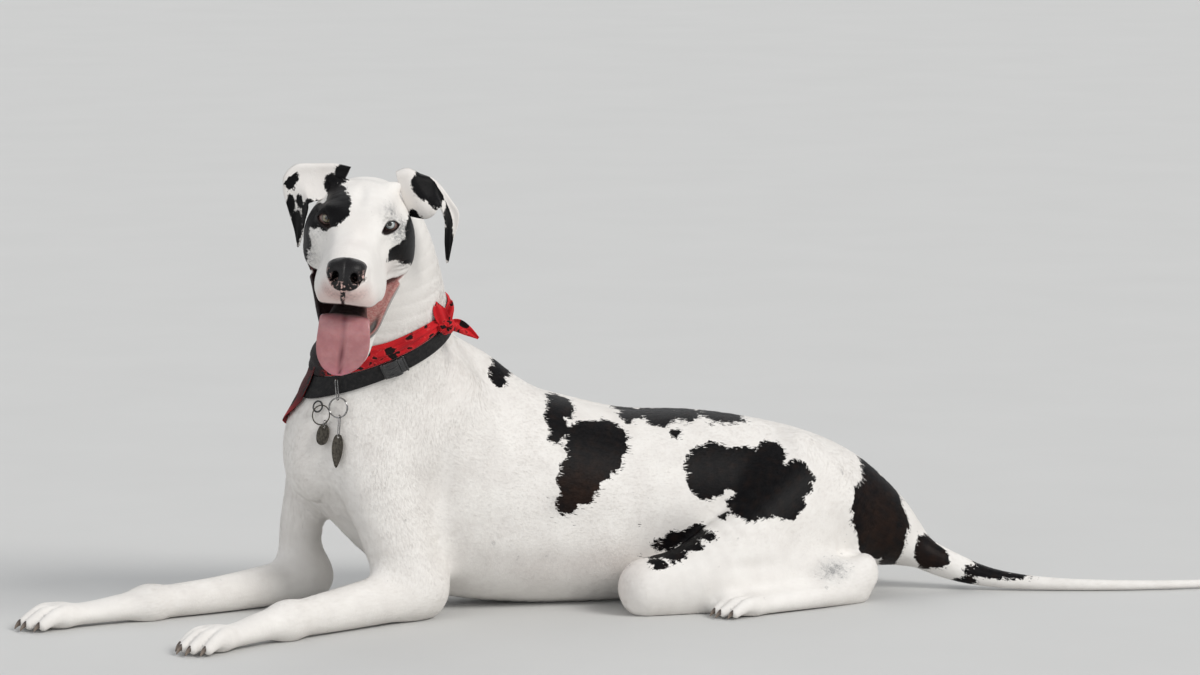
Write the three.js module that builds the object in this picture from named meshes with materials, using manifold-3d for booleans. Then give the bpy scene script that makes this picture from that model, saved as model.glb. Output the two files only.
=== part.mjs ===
// A great dane lying on its chest, head turned to its left, mouth open, with collar, bandana and tags.
// Millimetres. X runs from the head (low) to the tail (high), Y from the dog's left side (low) to its
// right side (high), Z up from the floor that it lies on. The head has a frame of its own, with x
// forward along the muzzle, y to the dog's left and z up, and its origin midway between the pupils.
import * as THREE from "three";
import { mergeVertices } from "three/addons/utils/BufferGeometryUtils.js";
import Module from "manifold-3d";

const wasm = await Module();
wasm.setup();

// Driving dimensions

const GAP = 0.3; // between pieces that touch
const CUT = 0.35; // width of the cuts that part the body
const OUTWARDS = 420; // reach of the spaces that part the limbs, clear past the body
const EYE_APART = 47.8; // from the midline of the head to each pupil
const EYE_RADIUS = 13.5;
const WEBBING_WIDE = 25; // nylon webbing of the collar
const WEBBING_THICK = 3.5;
const CLOTH_THICK = 2.4; // bandana, folded over
const RING_WIRE = 1.5; // radius of the wire of the split rings

const HEAD_AT = [-392, -265, 648.5]; // midway between the pupils
const HEAD_TURN = 71.8; // degrees that the muzzle points to the left of the trunk
const HEAD_DIP = 12.5; // degrees that the muzzle points below level
const HEAD_ROLL = -5.75; // degrees that the head tips towards its left shoulder

// Vectors as plain arrays, which the fields below call many times

const add = (a, b) => [a[0] + b[0], a[1] + b[1], a[2] + b[2]];
const sub = (a, b) => [a[0] - b[0], a[1] - b[1], a[2] - b[2]];
const times = (a, k) => [a[0] * k, a[1] * k, a[2] * k];
const dot = (a, b) => a[0] * b[0] + a[1] * b[1] + a[2] * b[2];
const cross = (a, b) => [
  a[1] * b[2] - a[2] * b[1],
  a[2] * b[0] - a[0] * b[2],
  a[0] * b[1] - a[1] * b[0],
];
const unit = (a) => times(a, 1 / (Math.hypot(...a) || 1));
const mix = (a, b, t) => add(times(a, 1 - t), times(b, t));
const clamp = (v, low, high) => Math.min(high, Math.max(low, v));
const FAR = 70; // beyond this a field need only be roughly right, as no join reaches that far

// The head's frame in the dog's frame

const headFrame = new THREE.Matrix4()
  .makeRotationZ(THREE.MathUtils.degToRad(180 + HEAD_TURN))
  .multiply(new THREE.Matrix4().makeRotationY(THREE.MathUtils.degToRad(HEAD_DIP)))
  .multiply(new THREE.Matrix4().makeRotationX(THREE.MathUtils.degToRad(HEAD_ROLL)));
headFrame.setPosition(...HEAD_AT);
const m = headFrame.elements;
const headAxes = [[m[0], m[1], m[2]], [m[4], m[5], m[6]], [m[8], m[9], m[10]]];

function toHead(p) {
  const d = sub(p, HEAD_AT);
  return headAxes.map((axis) => dot(d, axis));
}

function fromHead(q) {
  return headAxes.reduce((sum, axis, i) => add(sum, times(axis, q[i])), HEAD_AT);
}

// Fields: functions of a point that are below zero inside the flesh and about a distance near it

// Smooth join of several fields, which fills the crease between them over about the width given.
function blend(width, ...fields) {
  return (p) => {
    let d = Infinity;
    for (const f of fields) {
      const e = f(p);
      const near = Math.max(width - Math.abs(d - e), 0) / width;
      d = Math.min(d, e) - (near * near * width) / 4;
    }
    return d;
  };
}

// Field with another one scooped out of it, its rim rounded over about the width given.
function scoop(width, from, hollow) {
  return (p) => {
    const a = from(p);
    const b = -hollow(p);
    const near = Math.max(width - Math.abs(a - b), 0) / width;
    return Math.max(a, b) + (near * near * width) / 4;
  };
}

// Field of an oval lump: its centre, its three half sizes and how far it is turned about Z and Y.
function lump(at, sizes, turn = 0, dip = 0) {
  const [c, s] = [Math.cos(turn), Math.sin(turn)];
  const [e, t] = [Math.cos(dip), Math.sin(dip)];
  const least = Math.min(...sizes);
  const most = Math.max(...sizes);
  return (p) => {
    const d = sub(p, at);
    const clear = Math.max(Math.abs(d[0]), Math.abs(d[1]), Math.abs(d[2])) - most;
    if (clear > FAR) return clear;
    const x = d[0] * c + d[1] * s;
    const y = -d[0] * s + d[1] * c;
    const u = x * e - d[2] * t;
    const v = x * t + d[2] * e;
    return (Math.hypot(u / sizes[0], y / sizes[1], v / sizes[2]) - 1) * least;
  };
}

// Field carried along a smooth path: each station is [x, y, z, half width, half height], the width
// measured level across the path and the height square to it. A power over 2 makes it squarer.
function limb(stations, power = 2, up = [0, 0, 1]) {
  const steps = stations.length > 2 ? 5 : 1;
  const path = [];
  for (let i = 0; i + 1 < stations.length; i++) {
    const [a, b, c, d] = [-1, 0, 1, 2].map(
      (k) => stations[clamp(i + k, 0, stations.length - 1)],
    );
    for (let k = 0; k < steps; k++) {
      const t = k / steps;
      path.push(b.map((_, n) => {
        const before = (c[n] - a[n]) / 2;
        const after = (d[n] - b[n]) / 2;
        const [t2, t3] = [t * t, t * t * t];
        return (2 * t3 - 3 * t2 + 1) * b[n] + (t3 - 2 * t2 + t) * before
          + (-2 * t3 + 3 * t2) * c[n] + (t3 - t2) * after;
      }));
    }
  }
  path.push(stations.at(-1));
  const parts = path.slice(1).map((end, i) => {
    const start = path[i];
    const along = sub(end, start);
    const axis = unit(along);
    const side = unit(cross(up, axis));
    return { start, end, length: Math.hypot(...along), axis, side, top: cross(axis, side) };
  });
  const widest = Math.max(...path.map((s) => Math.max(s[3], s[4])));
  const low = [0, 1, 2].map((n) => Math.min(...path.map((s) => s[n])) - widest);
  const high = [0, 1, 2].map((n) => Math.max(...path.map((s) => s[n])) + widest);
  return (p) => {
    const clear = Math.max(...p.map((v, n) => Math.max(low[n] - v, v - high[n])));
    if (clear > FAR) return clear;
    let best = Infinity;
    for (const { start, end, length, axis, side, top } of parts) {
      const [x, y, z] = [p[0] - start[0], p[1] - start[1], p[2] - start[2]];
      const along = x * axis[0] + y * axis[1] + z * axis[2];
      const t = clamp(along / length, 0, 1);
      const wide = start[3] + (end[3] - start[3]) * t;
      const tall = start[4] + (end[4] - start[4]) * t;
      const least = Math.min(wide, tall);
      const w = Math.abs(x * side[0] + y * side[1] + z * side[2]) / wide;
      const h = Math.abs(x * top[0] + y * top[1] + z * top[2]) / tall;
      const past = (along - length * t) / least;
      const ring = power === 2 ? w * w + h * h : (w ** power + h ** power) ** (2 / power);
      best = Math.min(best, (Math.sqrt(ring + past * past) - 1) * least);
    }
    return best;
  };
}

const mirror = (stations) => stations.map(([x, y, ...rest]) => [x, -y, ...rest]);

// The trunk: a level spine that curves to the right behind the shoulders

const TRUNK = [
  [-408, -18, 232, 46, 60],
  [-366, -4, 254, 82, 90],
  [-296, 16, 244, 118, 132],
  [-180, 28, 200, 142, 180],
  [-60, 30, 170, 150, 174],
  [80, 26, 152, 150, 158],
  [220, 18, 150, 134, 151],
  [340, 8, 153, 120, 124],
  [430, 2, 142, 108, 98],
  [510, -4, 106, 82, 70],
  [552, -8, 84, 50, 46],
];
const NECK = [
  [-305, 5, 300, 94, 122],
  [-296, -28, 420, 98, 104],
  [-306, -66, 510, 86, 95],
  [-326, -98, 595, 73, 84],
  [-345, -114, 632, 62, 68],
];
const TAIL = [
  [535, -6, 98, 34, 34],
  [582, -24, 64, 30, 29],
  [640, -46, 36, 25, 24],
  [700, -72, 19, 18, 17],
  [780, -102, 11.5, 13.5, 12.5],
  [900, -134, 9, 11.5, 10],
  [1030, -148, 8, 10, 8.5],
  [1110, -138, 6.5, 8, 7],
];

// The left foreleg reaches forward and out, the right one further forward

const FORE_LEFT = {
  arm: [[-190, -58, 352, 30, 66], [-312, -82, 256, 52, 68], [-306, -104, 150, 46, 56], [-268, -104, 52, 42, 50]],
  forearm: [[-250, -92, 42, 36, 44], [-300, -120, 42, 38, 42], [-400, -174, 35, 32, 36], [-500, -231, 30, 28, 29]],
  pastern: [[-500, -231, 30, 29, 29], [-540, -253, 28, 28, 25], [-590, -280, 21, 28, 20], [-620, -295, 20, 33, 21]],
  paw: [-640, -305, 20],
  heading: Math.atan2(-0.494, -0.869),
};
const FORE_RIGHT = {
  arm: [[-210, 84, 345, 30, 66], [-360, 72, 262, 42, 52], [-402, 98, 150, 34, 37], [-406, 110, 52, 36, 37]],
  forearm: [[-386, 108, 40, 34, 38], [-440, 84, 36, 36, 36], [-560, 38, 29, 32, 30], [-672, 4, 26, 28, 27]],
  pastern: [[-672, 4, 26, 29, 27], [-715, -8, 24, 28, 23], [-775, -22, 20, 28, 19], [-812, -30, 20, 33, 20]],
  paw: [-838, -36, 20],
  heading: Math.atan2(-0.27, -0.963),
};
const HIND_LEFT = {
  thigh: [[400, -66, 146, 62, 104], [300, -112, 104, 62, 84], [200, -140, 68, 54, 62], [96, -148, 42, 40, 42]],
  shank: [[100, -142, 40, 38, 42], [240, -146, 44, 38, 46], [380, -136, 43, 27, 38], [462, -124, 40, 21, 34]],
  foot: [[462, -126, 30, 20, 30], [390, -160, 21, 21, 22], [300, -190, 18, 23, 19], [258, -201, 17, 27, 19]],
  paw: [230, -207, 17],
  heading: Math.atan2(-0.24, -0.971),
};
const HIND_RIGHT = {
  thigh: mirror(HIND_LEFT.thigh),
  shank: mirror(HIND_LEFT.shank),
  foot: mirror(HIND_LEFT.foot),
  paw: [230, 207, 17],
  heading: Math.atan2(0.24, -0.971),
};

// Field of a paw: four toes of two joints each in an arch, the middle pair longest, over a pad.
function paw({ paw: at, heading }, build = 1) {
  const place = (ahead, across, z) => [
    at[0] + (Math.cos(heading) * ahead - Math.sin(heading) * across) * build,
    at[1] + (Math.sin(heading) * ahead + Math.cos(heading) * across) * build,
    z * build,
  ];
  const toes = [-27, -9.5, 9.5, 27].map((across) => {
    const ahead = Math.abs(across) < 15 ? 14 : 0;
    return limb([
      [...place(-22, across * 0.7, 22), 15 * build, 15 * build],
      [...place(ahead, across, 23), 12.5 * build, 14.5 * build],
      [...place(ahead + 22, across * 1.06, 12), 10.5 * build, 11.5 * build],
    ]);
  });
  const core = lump(place(-12, 0, 17), [34 * build, 32 * build, 19 * build], heading);
  return blend(7, core, blend(3.5, ...toes));
}

// The head, in its own frame

const bothSides = (make) => [make(1), make(-1)];
const skull = limb([
  [-146, 0, -12, 36, 28],
  [-120, 0, -15, 57, 43],
  [-75, 0, -18, 69, 57],
  [-30, 0, -17, 68, 56],
  [8, 0, -16, 51, 44],
], 2.4);
const muzzle = limb([
  [-10, 0, -44, 52, 47],
  [35, 0, -45, 45, 46],
  [80, 0, -48, 42, 44],
  [122, 0, -49, 40, 42],
  [150, 0, -46, 36, 36],
  [161, 0, -41, 29, 31],
], 2.7);
const flews = bothSides((s) => blend(
  16,
  lump([112, 22 * s, -76], [42, 21, 25], 0.1 * s),
  lump([52, 40 * s, -80], [50, 14, 26], 0.12 * s),
));
const cheeks = bothSides((s) => blend(
  24,
  lump([-46, 51 * s, -28], [48, 26, 28], 0.2 * s),
  lump([-60, 57 * s, -64], [48, 29, 44]),
));
const brows = bothSides((s) => lump([2, 36 * s, 17], [17, 21, 9], 0.5 * s));
const noseBridge = lump([166, 0, -27], [20, 31, 24]);
const throat = limb([[-120, 0, -70, 62, 60], [-60, 0, -100, 56, 42], [10, 0, -132, 42, 34]]);
const jaw = limb([
  [-60, 0, -100, 54, 38],
  [-15, 0, -124, 52, 35],
  [30, 1, -146, 47, 31],
  [80, 2, -168, 40, 29],
  [100, 2, -174, 35, 28],
  [107, 2, -174, 30, 24],
], 2.4);
// The lower lips hang a little further out on the left, as the jaw is not quite level.
const lowerLips = bothSides((s) => limb([
  [-30, 64 * s, -104, 7, 12],
  [20, 50 * s + 1, -130, 7, 12],
  [75, 41 * s + 3, -142, 6, 10],
  [104, 29 * s + 3, -150, 6, 8],
]));
const mouth = limb([
  [-48, 0, -94, 74, 2],
  [-10, 0, -104, 72, 10],
  [50, 0, -119, 70, 21],
  [120, 0, -122, 68, 28],
  [190, 0, -122, 66, 34],
], 2.2);
const palate = limb([[20, 0, -90, 22, 12], [80, 0, -92, 24, 14], [126, 0, -94, 22, 9]]);
const sockets = bothSides((s) => lump([9, EYE_APART * s, 0], [13, 15.5, 8.5], 0.35 * s));
const lids = bothSides((s) => lump([-3, (EYE_APART - 1) * s, 0], [16.5, 19, 16.5]));
const nostrils = bothSides((s) => blend(
  3,
  lump([184, 14 * s, -25], [9, 6.5, 6.5]),
  limb([[183, 18 * s, -27, 3, 3], [174, 28 * s, -33, 2.5, 3]]),
));

const headOutside = blend(
  22, skull, muzzle, blend(14, ...cheeks), blend(12, ...flews), throat, jaw,
);
const headWithLids = blend(7, headOutside, ...brows, ...lids, noseBridge, ...lowerLips);
const headShape = [
  [8, mouth],
  [5, palate],
  [3, sockets[0]],
  [3, sockets[1]],
  [2, nostrils[0]],
  [2, nostrils[1]],
].reduce((shape, [width, hollow]) => scoop(width, shape, hollow), headWithLids);

// The whole body, in the dog's frame

const neck = limb(NECK, 2, [1, 0, 0]);
const foreLegs = [FORE_LEFT, FORE_RIGHT];
const hindLegs = [HIND_LEFT, HIND_RIGHT];
const trunk = blend(
  60,
  limb(TRUNK),
  lump([-190, 20, 331], [82, 54, 92], 0, 0.25),
  neck,
);
const arms = foreLegs.map((leg) => blend(30, limb(leg.arm, 2, [1, 0, 0]), limb(leg.forearm)));
const feet = foreLegs.map((leg) => blend(12, limb(leg.pastern), paw(leg)));
const thighs = hindLegs.map((leg) => blend(34, limb(leg.thigh), limb(leg.shank)));
const hocks = hindLegs.map((leg) => blend(12, limb(leg.foot), paw(leg, 0.88)));
const bodyShape = blend(
  24,
  blend(44, trunk, ...arms),
  blend(12, ...thighs, ...feet, ...hocks),
  limb(TAIL),
);
const headAndNeck = blend(30, headShape, (q) => neck(fromHead(q)));

// Surfaces from fields

// Closed surface of a field, from a grid whose every cube is cut into six like tetrahedra. Points far
// from the surface take their value from the coarse grid, where one look clears many cells.
function surface(field, low, high, cell) {
  const coarse = 4;
  const count = low.map((v, i) => coarse * Math.ceil((high[i] - v) / cell / coarse) + 1);
  const index = (i, j, k) => i + count[0] * (j + count[1] * k);
  const at = (i, j, k) => [low[0] + i * cell, low[1] + j * cell, low[2] + k * cell];
  const values = new Float32Array(count[0] * count[1] * count[2]).fill(cell);
  const reach = coarse * cell * 1.6;
  for (let k = 0; k + 1 < count[2]; k += coarse)
    for (let j = 0; j + 1 < count[1]; j += coarse)
      for (let i = 0; i + 1 < count[0]; i += coarse) {
        const middle = field(at(i + coarse / 2, j + coarse / 2, k + coarse / 2));
        for (let n = 0; n < (coarse + 1) ** 3; n++) {
          const c = [i + (n % 5), j + (Math.floor(n / 5) % 5), k + Math.floor(n / 25)];
          const border = c.some((v, axis) => v === 0 || v === count[axis] - 1);
          if (border) continue;
          values[index(...c)] = Math.abs(middle) > reach ? middle : field(at(...c));
        }
      }
  const steps = [[0, 1, 3, 7], [0, 3, 2, 7], [0, 2, 6, 7], [0, 6, 4, 7], [0, 4, 5, 7], [0, 5, 1, 7]];
  const points = [];
  const known = new Map();
  const crossing = (a, b) => {
    const key = a < b ? a * values.length + b : b * values.length + a;
    if (!known.has(key)) {
      const [p, q] = [a, b].map((n) => at(
        n % count[0], Math.floor(n / count[0]) % count[1], Math.floor(n / count[0] / count[1]),
      ));
      known.set(key, points.length);
      points.push(mix(p, q, clamp(values[a] / (values[a] - values[b]), 0.03, 0.97)));
    }
    return known.get(key);
  };
  const faces = [];
  for (let k = 0; k + 1 < count[2]; k++)
    for (let j = 0; j + 1 < count[1]; j++)
      for (let i = 0; i + 1 < count[0]; i++) {
        const cube = [0, 1, 2, 3, 4, 5, 6, 7].map(
          (n) => index(i + (n & 1), j + ((n >> 1) & 1), k + (n >> 2)),
        );
        const under = cube.filter((n) => values[n] < 0).length;
        if (under === 0 || under === 8) continue;
        for (const tetra of steps) {
          const corners = tetra.map((n) => cube[n]);
          const inside = corners.map((n) => values[n] < 0);
          const bits = inside.reduce((sum, v, n) => sum + (v ? 1 << n : 0), 0);
          for (const face of TETRA_FACES[bits])
            faces.push(face.map(([s, t]) => crossing(corners[s], corners[t])));
        }
      }
  return { points, faces };
}

// Faces of one tetrahedron for each set of its corners that is inside, as the edges that they cross,
// turned outwards. Swapping two corners of an even order gives the others from three plain ones.
const TETRA_FACES = Array.from({ length: 16 }, (_, bits) => {
  const inside = [0, 1, 2, 3].filter((n) => bits & (1 << n));
  const outside = [0, 1, 2, 3].filter((n) => !(bits & (1 << n)));
  const order = [...inside, ...outside];
  const swaps = order.flatMap((v, i) => order.slice(i + 1).filter((w) => w < v)).length;
  const turned = swaps % 2 === 1;
  const facing = (faces) => (turned ? faces.map(([a, b, c]) => [a, c, b]) : faces);
  const [a, b, c, d] = order;
  if (inside.length === 1) return facing([[[a, b], [a, c], [a, d]]]);
  if (inside.length === 3) return facing([[[a, d], [b, d], [c, d]]]);
  if (inside.length === 2)
    return facing([[[a, c], [a, d], [b, d]], [[a, c], [b, d], [b, c]]]);
  return [];
});

// The same surface with fewer triangles: the edge whose loss moves the surface least goes first,
// measured by the squared distance to the planes of the faces that met there.
function thinned({ points, faces }, wanted) {
  const place = points.map((p) => [...p]);
  const around = points.map(() => new Set());
  const corner = faces.map((f) => [...f]);
  corner.forEach((f, i) => f.forEach((v) => around[v].add(i)));
  const normalOf = (f, swap, to) => {
    const [a, b, c] = f.map((v) => (v === swap ? to : place[v]));
    return cross(sub(b, a), sub(c, a));
  };
  const quadric = points.map(() => new Float64Array(10));
  for (const f of corner) {
    const n = normalOf(f);
    const area = Math.hypot(...n);
    const [a, b, c] = times(n, 1 / (area || 1));
    const d = -dot([a, b, c], place[f[0]]);
    const terms = [a * a, a * b, a * c, a * d, b * b, b * c, b * d, c * c, c * d, d * d];
    for (const v of f) terms.forEach((t, i) => (quadric[v][i] += t * area));
  }
  const cost = (q, [x, y, z]) => q[0] * x * x + 2 * q[1] * x * y + 2 * q[2] * x * z + 2 * q[3] * x
    + q[4] * y * y + 2 * q[5] * y * z + 2 * q[6] * y + q[7] * z * z + 2 * q[8] * z + q[9];
  const best = (q, a, b) => {
    const m3 = new THREE.Matrix3().set(q[0], q[1], q[2], q[1], q[4], q[5], q[2], q[5], q[7]);
    const choices = [place[a], place[b], mix(place[a], place[b], 0.5)];
    const size = Math.hypot(...sub(place[a], place[b]));
    if (Math.abs(m3.determinant()) > 1e-7 * (q[0] + q[4] + q[7]) ** 3) {
      const v = new THREE.Vector3(-q[3], -q[6], -q[8]).applyMatrix3(m3.invert());
      const p = [v.x, v.y, v.z];
      if (Math.hypot(...sub(p, choices[2])) < size) choices.push(p);
    }
    return choices.map((p) => [cost(q, p), p]).sort((s, t) => s[0] - t[0])[0];
  };
  const version = new Int32Array(points.length);
  const heap = [];
  const swap = (i, j) => ([heap[i], heap[j]] = [heap[j], heap[i]]);
  const push = (item) => {
    heap.push(item);
    for (let i = heap.length - 1; i > 0;) {
      const parent = (i - 1) >> 1;
      if (heap[parent].key <= heap[i].key) break;
      swap(parent, i);
      i = parent;
    }
  };
  const pop = () => {
    swap(0, heap.length - 1);
    const top = heap.pop();
    for (let i = 0; ;) {
      const [l, r] = [2 * i + 1, 2 * i + 2];
      let least = i;
      if (l < heap.length && heap[l].key < heap[least].key) least = l;
      if (r < heap.length && heap[r].key < heap[least].key) least = r;
      if (least === i) return top;
      swap(i, least);
      i = least;
    }
  };
  const offer = (a, b) => {
    const q = quadric[a].map((v, i) => v + quadric[b][i]);
    const [key, to] = best(q, a, b);
    push({ key: key + 1e-3 * Math.hypot(...sub(place[a], place[b])), a, b, to, q,
      stamp: version[a] + version[b] });
  };
  corner.forEach((f) => f.forEach((a, i) => {
    const b = f[(i + 1) % 3];
    if (a < b) offer(a, b);
  }));
  let left = corner.length;
  const neighbours = (v) => new Set([...around[v]].flatMap((i) => corner[i]));
  while (left > wanted && heap.length) {
    const { a, b, to, q, stamp } = pop();
    if (!around[a].size || !around[b].size || stamp !== version[a] + version[b]) continue;
    const nearA = neighbours(a);
    const shared = [...neighbours(b)].filter((v) => nearA.has(v) && v !== a && v !== b);
    const lost = [...around[a]].filter((i) => around[b].has(i));
    if (shared.length !== 2 || lost.length !== 2) continue;
    const turns = [a, b].some((v) => [...around[v]].some((i) => {
      if (lost.includes(i)) return false;
      const before = unit(normalOf(corner[i]));
      const raw = normalOf(corner[i], v, to);
      const longest = Math.max(...corner[i].map((w) => Math.hypot(...sub(w === v ? to : place[w], to))));
      return dot(before, unit(raw)) < 0.35 || Math.hypot(...raw) < 0.04 * longest * longest;
    }));
    if (turns) continue;
    for (const i of lost) {
      corner[i].forEach((v) => around[v].delete(i));
      corner[i] = null;
    }
    for (const i of around[b]) {
      corner[i] = corner[i].map((v) => (v === b ? a : v));
      around[a].add(i);
    }
    around[b].clear();
    place[a] = to;
    quadric[a] = q;
    left -= 2;
    version[a] += 1e5;
    for (const v of neighbours(a)) if (v !== a) offer(Math.min(a, v), Math.max(a, v));
  }
  return { points: place, faces: corner.filter(Boolean) };
}

// Solids

function geometryOf({ points, faces }) {
  return new THREE.BufferGeometry()
    .setAttribute("position", new THREE.Float32BufferAttribute(points.flat(), 3))
    .setIndex(faces.flat());
}

function solidOf(geometry) {
  const plain = geometry.clone();
  plain.deleteAttribute("normal");
  plain.deleteAttribute("uv");
  const merged = mergeVertices(plain, 1e-3);
  const solid = new wasm.Manifold(new wasm.Mesh({
    numProp: 3,
    vertProperties: merged.attributes.position.array,
    triVerts: new Uint32Array(merged.index.array),
  }));
  if (solid.volume() < 0) throw new Error("a solid is inside out");
  return solid;
}

const fleshSolid = (mesh) => solidOf(geometryOf(mesh));

// The points and faces of a solid.
function meshOf(solid) {
  const { vertProperties, triVerts, numProp } = solid.getMesh();
  const rows = (array, width) => Array.from(
    { length: array.length / width }, (_, i) => [...array.subarray(i * width, i * width + 3)],
  );
  return { points: rows(vertProperties, numProp), faces: rows(triVerts, 3) };
}

// The largest closed piece of a solid.
const largest = (solid) => solid.decompose().sort((a, b) => b.volume() - a.volume())[0];

// A box as a solid, from its lowest to its highest corner, placed by a matrix.
function block(low, high, matrix = new THREE.Matrix4()) {
  const size = sub(high, low);
  const middle = mix(low, high, 0.5);
  return solidOf(new THREE.BoxGeometry(...size).translate(...middle).applyMatrix4(matrix));
}

// Space to one side of the dog, past an inner face across Y, within a smooth closed outline in X
// and Z. All of it may be grown outwards.
function flank({ outline, inner, side }, grow) {
  const curve = new THREE.CatmullRomCurve3(outline.map(([x, z]) => new THREE.Vector3(x, z, 0)), true);
  const rim = curve.getPoints(outline.length * 3).slice(1);
  const outwards = THREE.ShapeUtils.isClockWise(rim) ? -grow : grow;
  const shape = new THREE.Shape(rim.map(({ x, y }, i) => {
    const [before, after] = [rim.at(i - 1), rim[(i + 1) % rim.length]];
    const along = unit([after.x - before.x, after.y - before.y, 0]);
    return new THREE.Vector2(x + along[1] * outwards, y - along[0] * outwards);
  }));
  const face = inner - side * grow;
  const geometry = new THREE.ExtrudeGeometry(shape, { depth: OUTWARDS, bevelEnabled: false });
  return solidOf(geometry.rotateX(Math.PI / 2).translate(0, side > 0 ? face + OUTWARDS : face, 0));
}

// Space past a plane that goes through a point, on the side that it faces, as far as is told.
function beyond(point, facing, wide = 900, deep = 1800) {
  const turn = new THREE.Matrix4().makeRotationFromQuaternion(
    new THREE.Quaternion().setFromUnitVectors(
      new THREE.Vector3(0, 0, 1), new THREE.Vector3(...unit(facing)),
    ),
  );
  turn.setPosition(...point);
  return block([-wide, -wide, 0], [wide, wide, deep], turn);
}

// A closed skin through rings of points, all with the same count. Its two ends are closed by fans,
// unless it is an endless band, whose last ring meets the first.
function ringed(rings, endless = false) {
  const sides = rings[0].length;
  const points = rings.flat();
  const faces = [];
  for (let i = 0; i < rings.length - (endless ? 0 : 1); i++)
    for (let j = 0; j < sides; j++) {
      const next = ((i + 1) % rings.length) * sides;
      const [a, b] = [i * sides + j, i * sides + ((j + 1) % sides)];
      const [c, d] = [next + ((j + 1) % sides), next + j];
      faces.push([a, b, c], [a, c, d]);
    }
  if (endless) return { points, faces };
  for (const [ring, turned] of [[0, true], [rings.length - 1, false]]) {
    const centre = points.length;
    points.push(times(rings[ring].reduce(add), 1 / sides));
    for (let j = 0; j < sides; j++) {
      const [a, b] = [ring * sides + j, ring * sides + ((j + 1) % sides)];
      faces.push(turned ? [b, a, centre] : [a, b, centre]);
    }
  }
  return { points, faces };
}

// Rings along a path of [x, y, z, half width, half thickness] stations, smoothed between them. Its
// width lies as near to the across direction as the path allows.
function strap(stations, sides, steps, across) {
  const curve = new THREE.CatmullRomCurve3(stations.map(([x, y, z]) => new THREE.Vector3(x, y, z)));
  const sizes = new THREE.CatmullRomCurve3(
    stations.map(([, , , wide, thick]) => new THREE.Vector3(wide, thick, 0)),
  );
  const rings = [];
  for (let i = 0; i <= steps; i++) {
    const t = i / steps;
    const centre = curve.getPoint(t).toArray();
    const axis = curve.getTangent(t).toArray();
    const side = unit(sub(across, times(axis, dot(across, axis))));
    const top = cross(axis, side);
    const [wide, thick] = sizes.getPoint(t).toArray();
    rings.push(Array.from({ length: sides }, (_, j) => {
      const angle = (2 * Math.PI * (j + 0.5)) / sides;
      return add(centre, add(times(side, Math.cos(angle) * wide), times(top, Math.sin(angle) * thick)));
    }));
  }
  return ringed(rings);
}

// Surface moved outwards by a small amount, to cut a fitting hollow in a neighbour.
function swollen(mesh, by) {
  const normal = mesh.points.map(() => [0, 0, 0]);
  for (const f of mesh.faces) {
    const [a, b, c] = f.map((v) => mesh.points[v]);
    const n = cross(sub(b, a), sub(c, a));
    for (const v of f) normal[v] = add(normal[v], n);
  }
  return {
    points: mesh.points.map((p, i) => add(p, times(unit(normal[i]), by))),
    faces: mesh.faces,
  };
}

// Finishes

const finish = {
  coat: new THREE.MeshStandardMaterial({ color: 0xe9e6df, roughness: 0.8, metalness: 0 }),
  nose: new THREE.MeshStandardMaterial({ color: 0x201c1e, roughness: 0.45, metalness: 0 }),
  tongue: new THREE.MeshStandardMaterial({ color: 0xc97f86, roughness: 0.35, metalness: 0 }),
  eye: new THREE.MeshStandardMaterial({ color: 0x9fa58a, roughness: 0.08, metalness: 0 }),
  webbing: new THREE.MeshStandardMaterial({ color: 0x101012, roughness: 0.85, metalness: 0 }),
  buckle: new THREE.MeshStandardMaterial({ color: 0x0c0c0e, roughness: 0.4, metalness: 0 }),
  cloth: new THREE.MeshStandardMaterial({ color: 0xb5121b, roughness: 0.9, metalness: 0 }),
  tag: new THREE.MeshStandardMaterial({ color: 0x3b3a3a, roughness: 0.45, metalness: 0.8 }),
  steel: new THREE.MeshStandardMaterial({ color: 0xb9bbbe, roughness: 0.25, metalness: 1 }),
};

const dog = new THREE.Group();
const headGroup = new THREE.Group();
headGroup.applyMatrix4(headFrame);
dog.add(headGroup);

function place(group, name, solid, material) {
  const mesh = new THREE.Mesh(geometryOf(meshOf(largest(solid))), material);
  mesh.name = name;
  group.add(mesh);
}

// Body

const aboveFloor = block([-1000, -500, 0], [1300, 500, 1000]);
const bodyMesh = thinned(
  surface(bodyShape, [-930, -400, -45], [1150, 270, 720], 15), 3300,
);
const headMesh = thinned(
  surface(headAndNeck, [-190, -110, -230], [200, 110, 80], 5.5), 3500,
);
let body = fleshSolid(bodyMesh).intersect(aboveFloor);
let head = fleshSolid(headMesh);

// Takes from the body what lies in a space, as a node, and leaves the rest of the body a cut away.
function part(name, space, flesh = body) {
  place(dog, name, flesh.intersect(space(0)), finish.coat);
  body = body.subtract(space(CUT));
}

// The body near some of its stations, drawn afresh on a finer grid.
function fine(stations, margin, cell, wanted) {
  const low = [0, 1, 2].map((n) => Math.min(...stations.map((s) => s[n])) - margin);
  const high = [0, 1, 2].map((n) => Math.max(...stations.map((s) => s[n])) + margin);
  low[2] = -4 * cell;
  return fleshSolid(thinned(surface(bodyShape, low, high, cell), wanted)).intersect(aboveFloor);
}

// The same from the head, in the head's own frame.
function headPart(name, space, material) {
  place(headGroup, name, head.intersect(space(0)), material);
  head = head.subtract(space(CUT));
}

// Cuts: where the head meets the neck, the neck the trunk and the tail the rump

const THROAT_CUT = { point: [-74, 0, -112], facing: [0.83, 0, 0.55] };
const COLLAR = { centre: [-300, -28, 421], facing: unit([-0.426, -0.137, 0.894]) };
const TAIL_CUT = { point: [588, -26, 60], facing: unit([0.82, -0.25, -0.5]) };

const throatFacing = sub(fromHead(THROAT_CUT.facing), HEAD_AT);
const past = ({ point, facing }, grow, wide, deep) =>
  beyond(sub(point, times(facing, grow)), facing, wide, deep);

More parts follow.
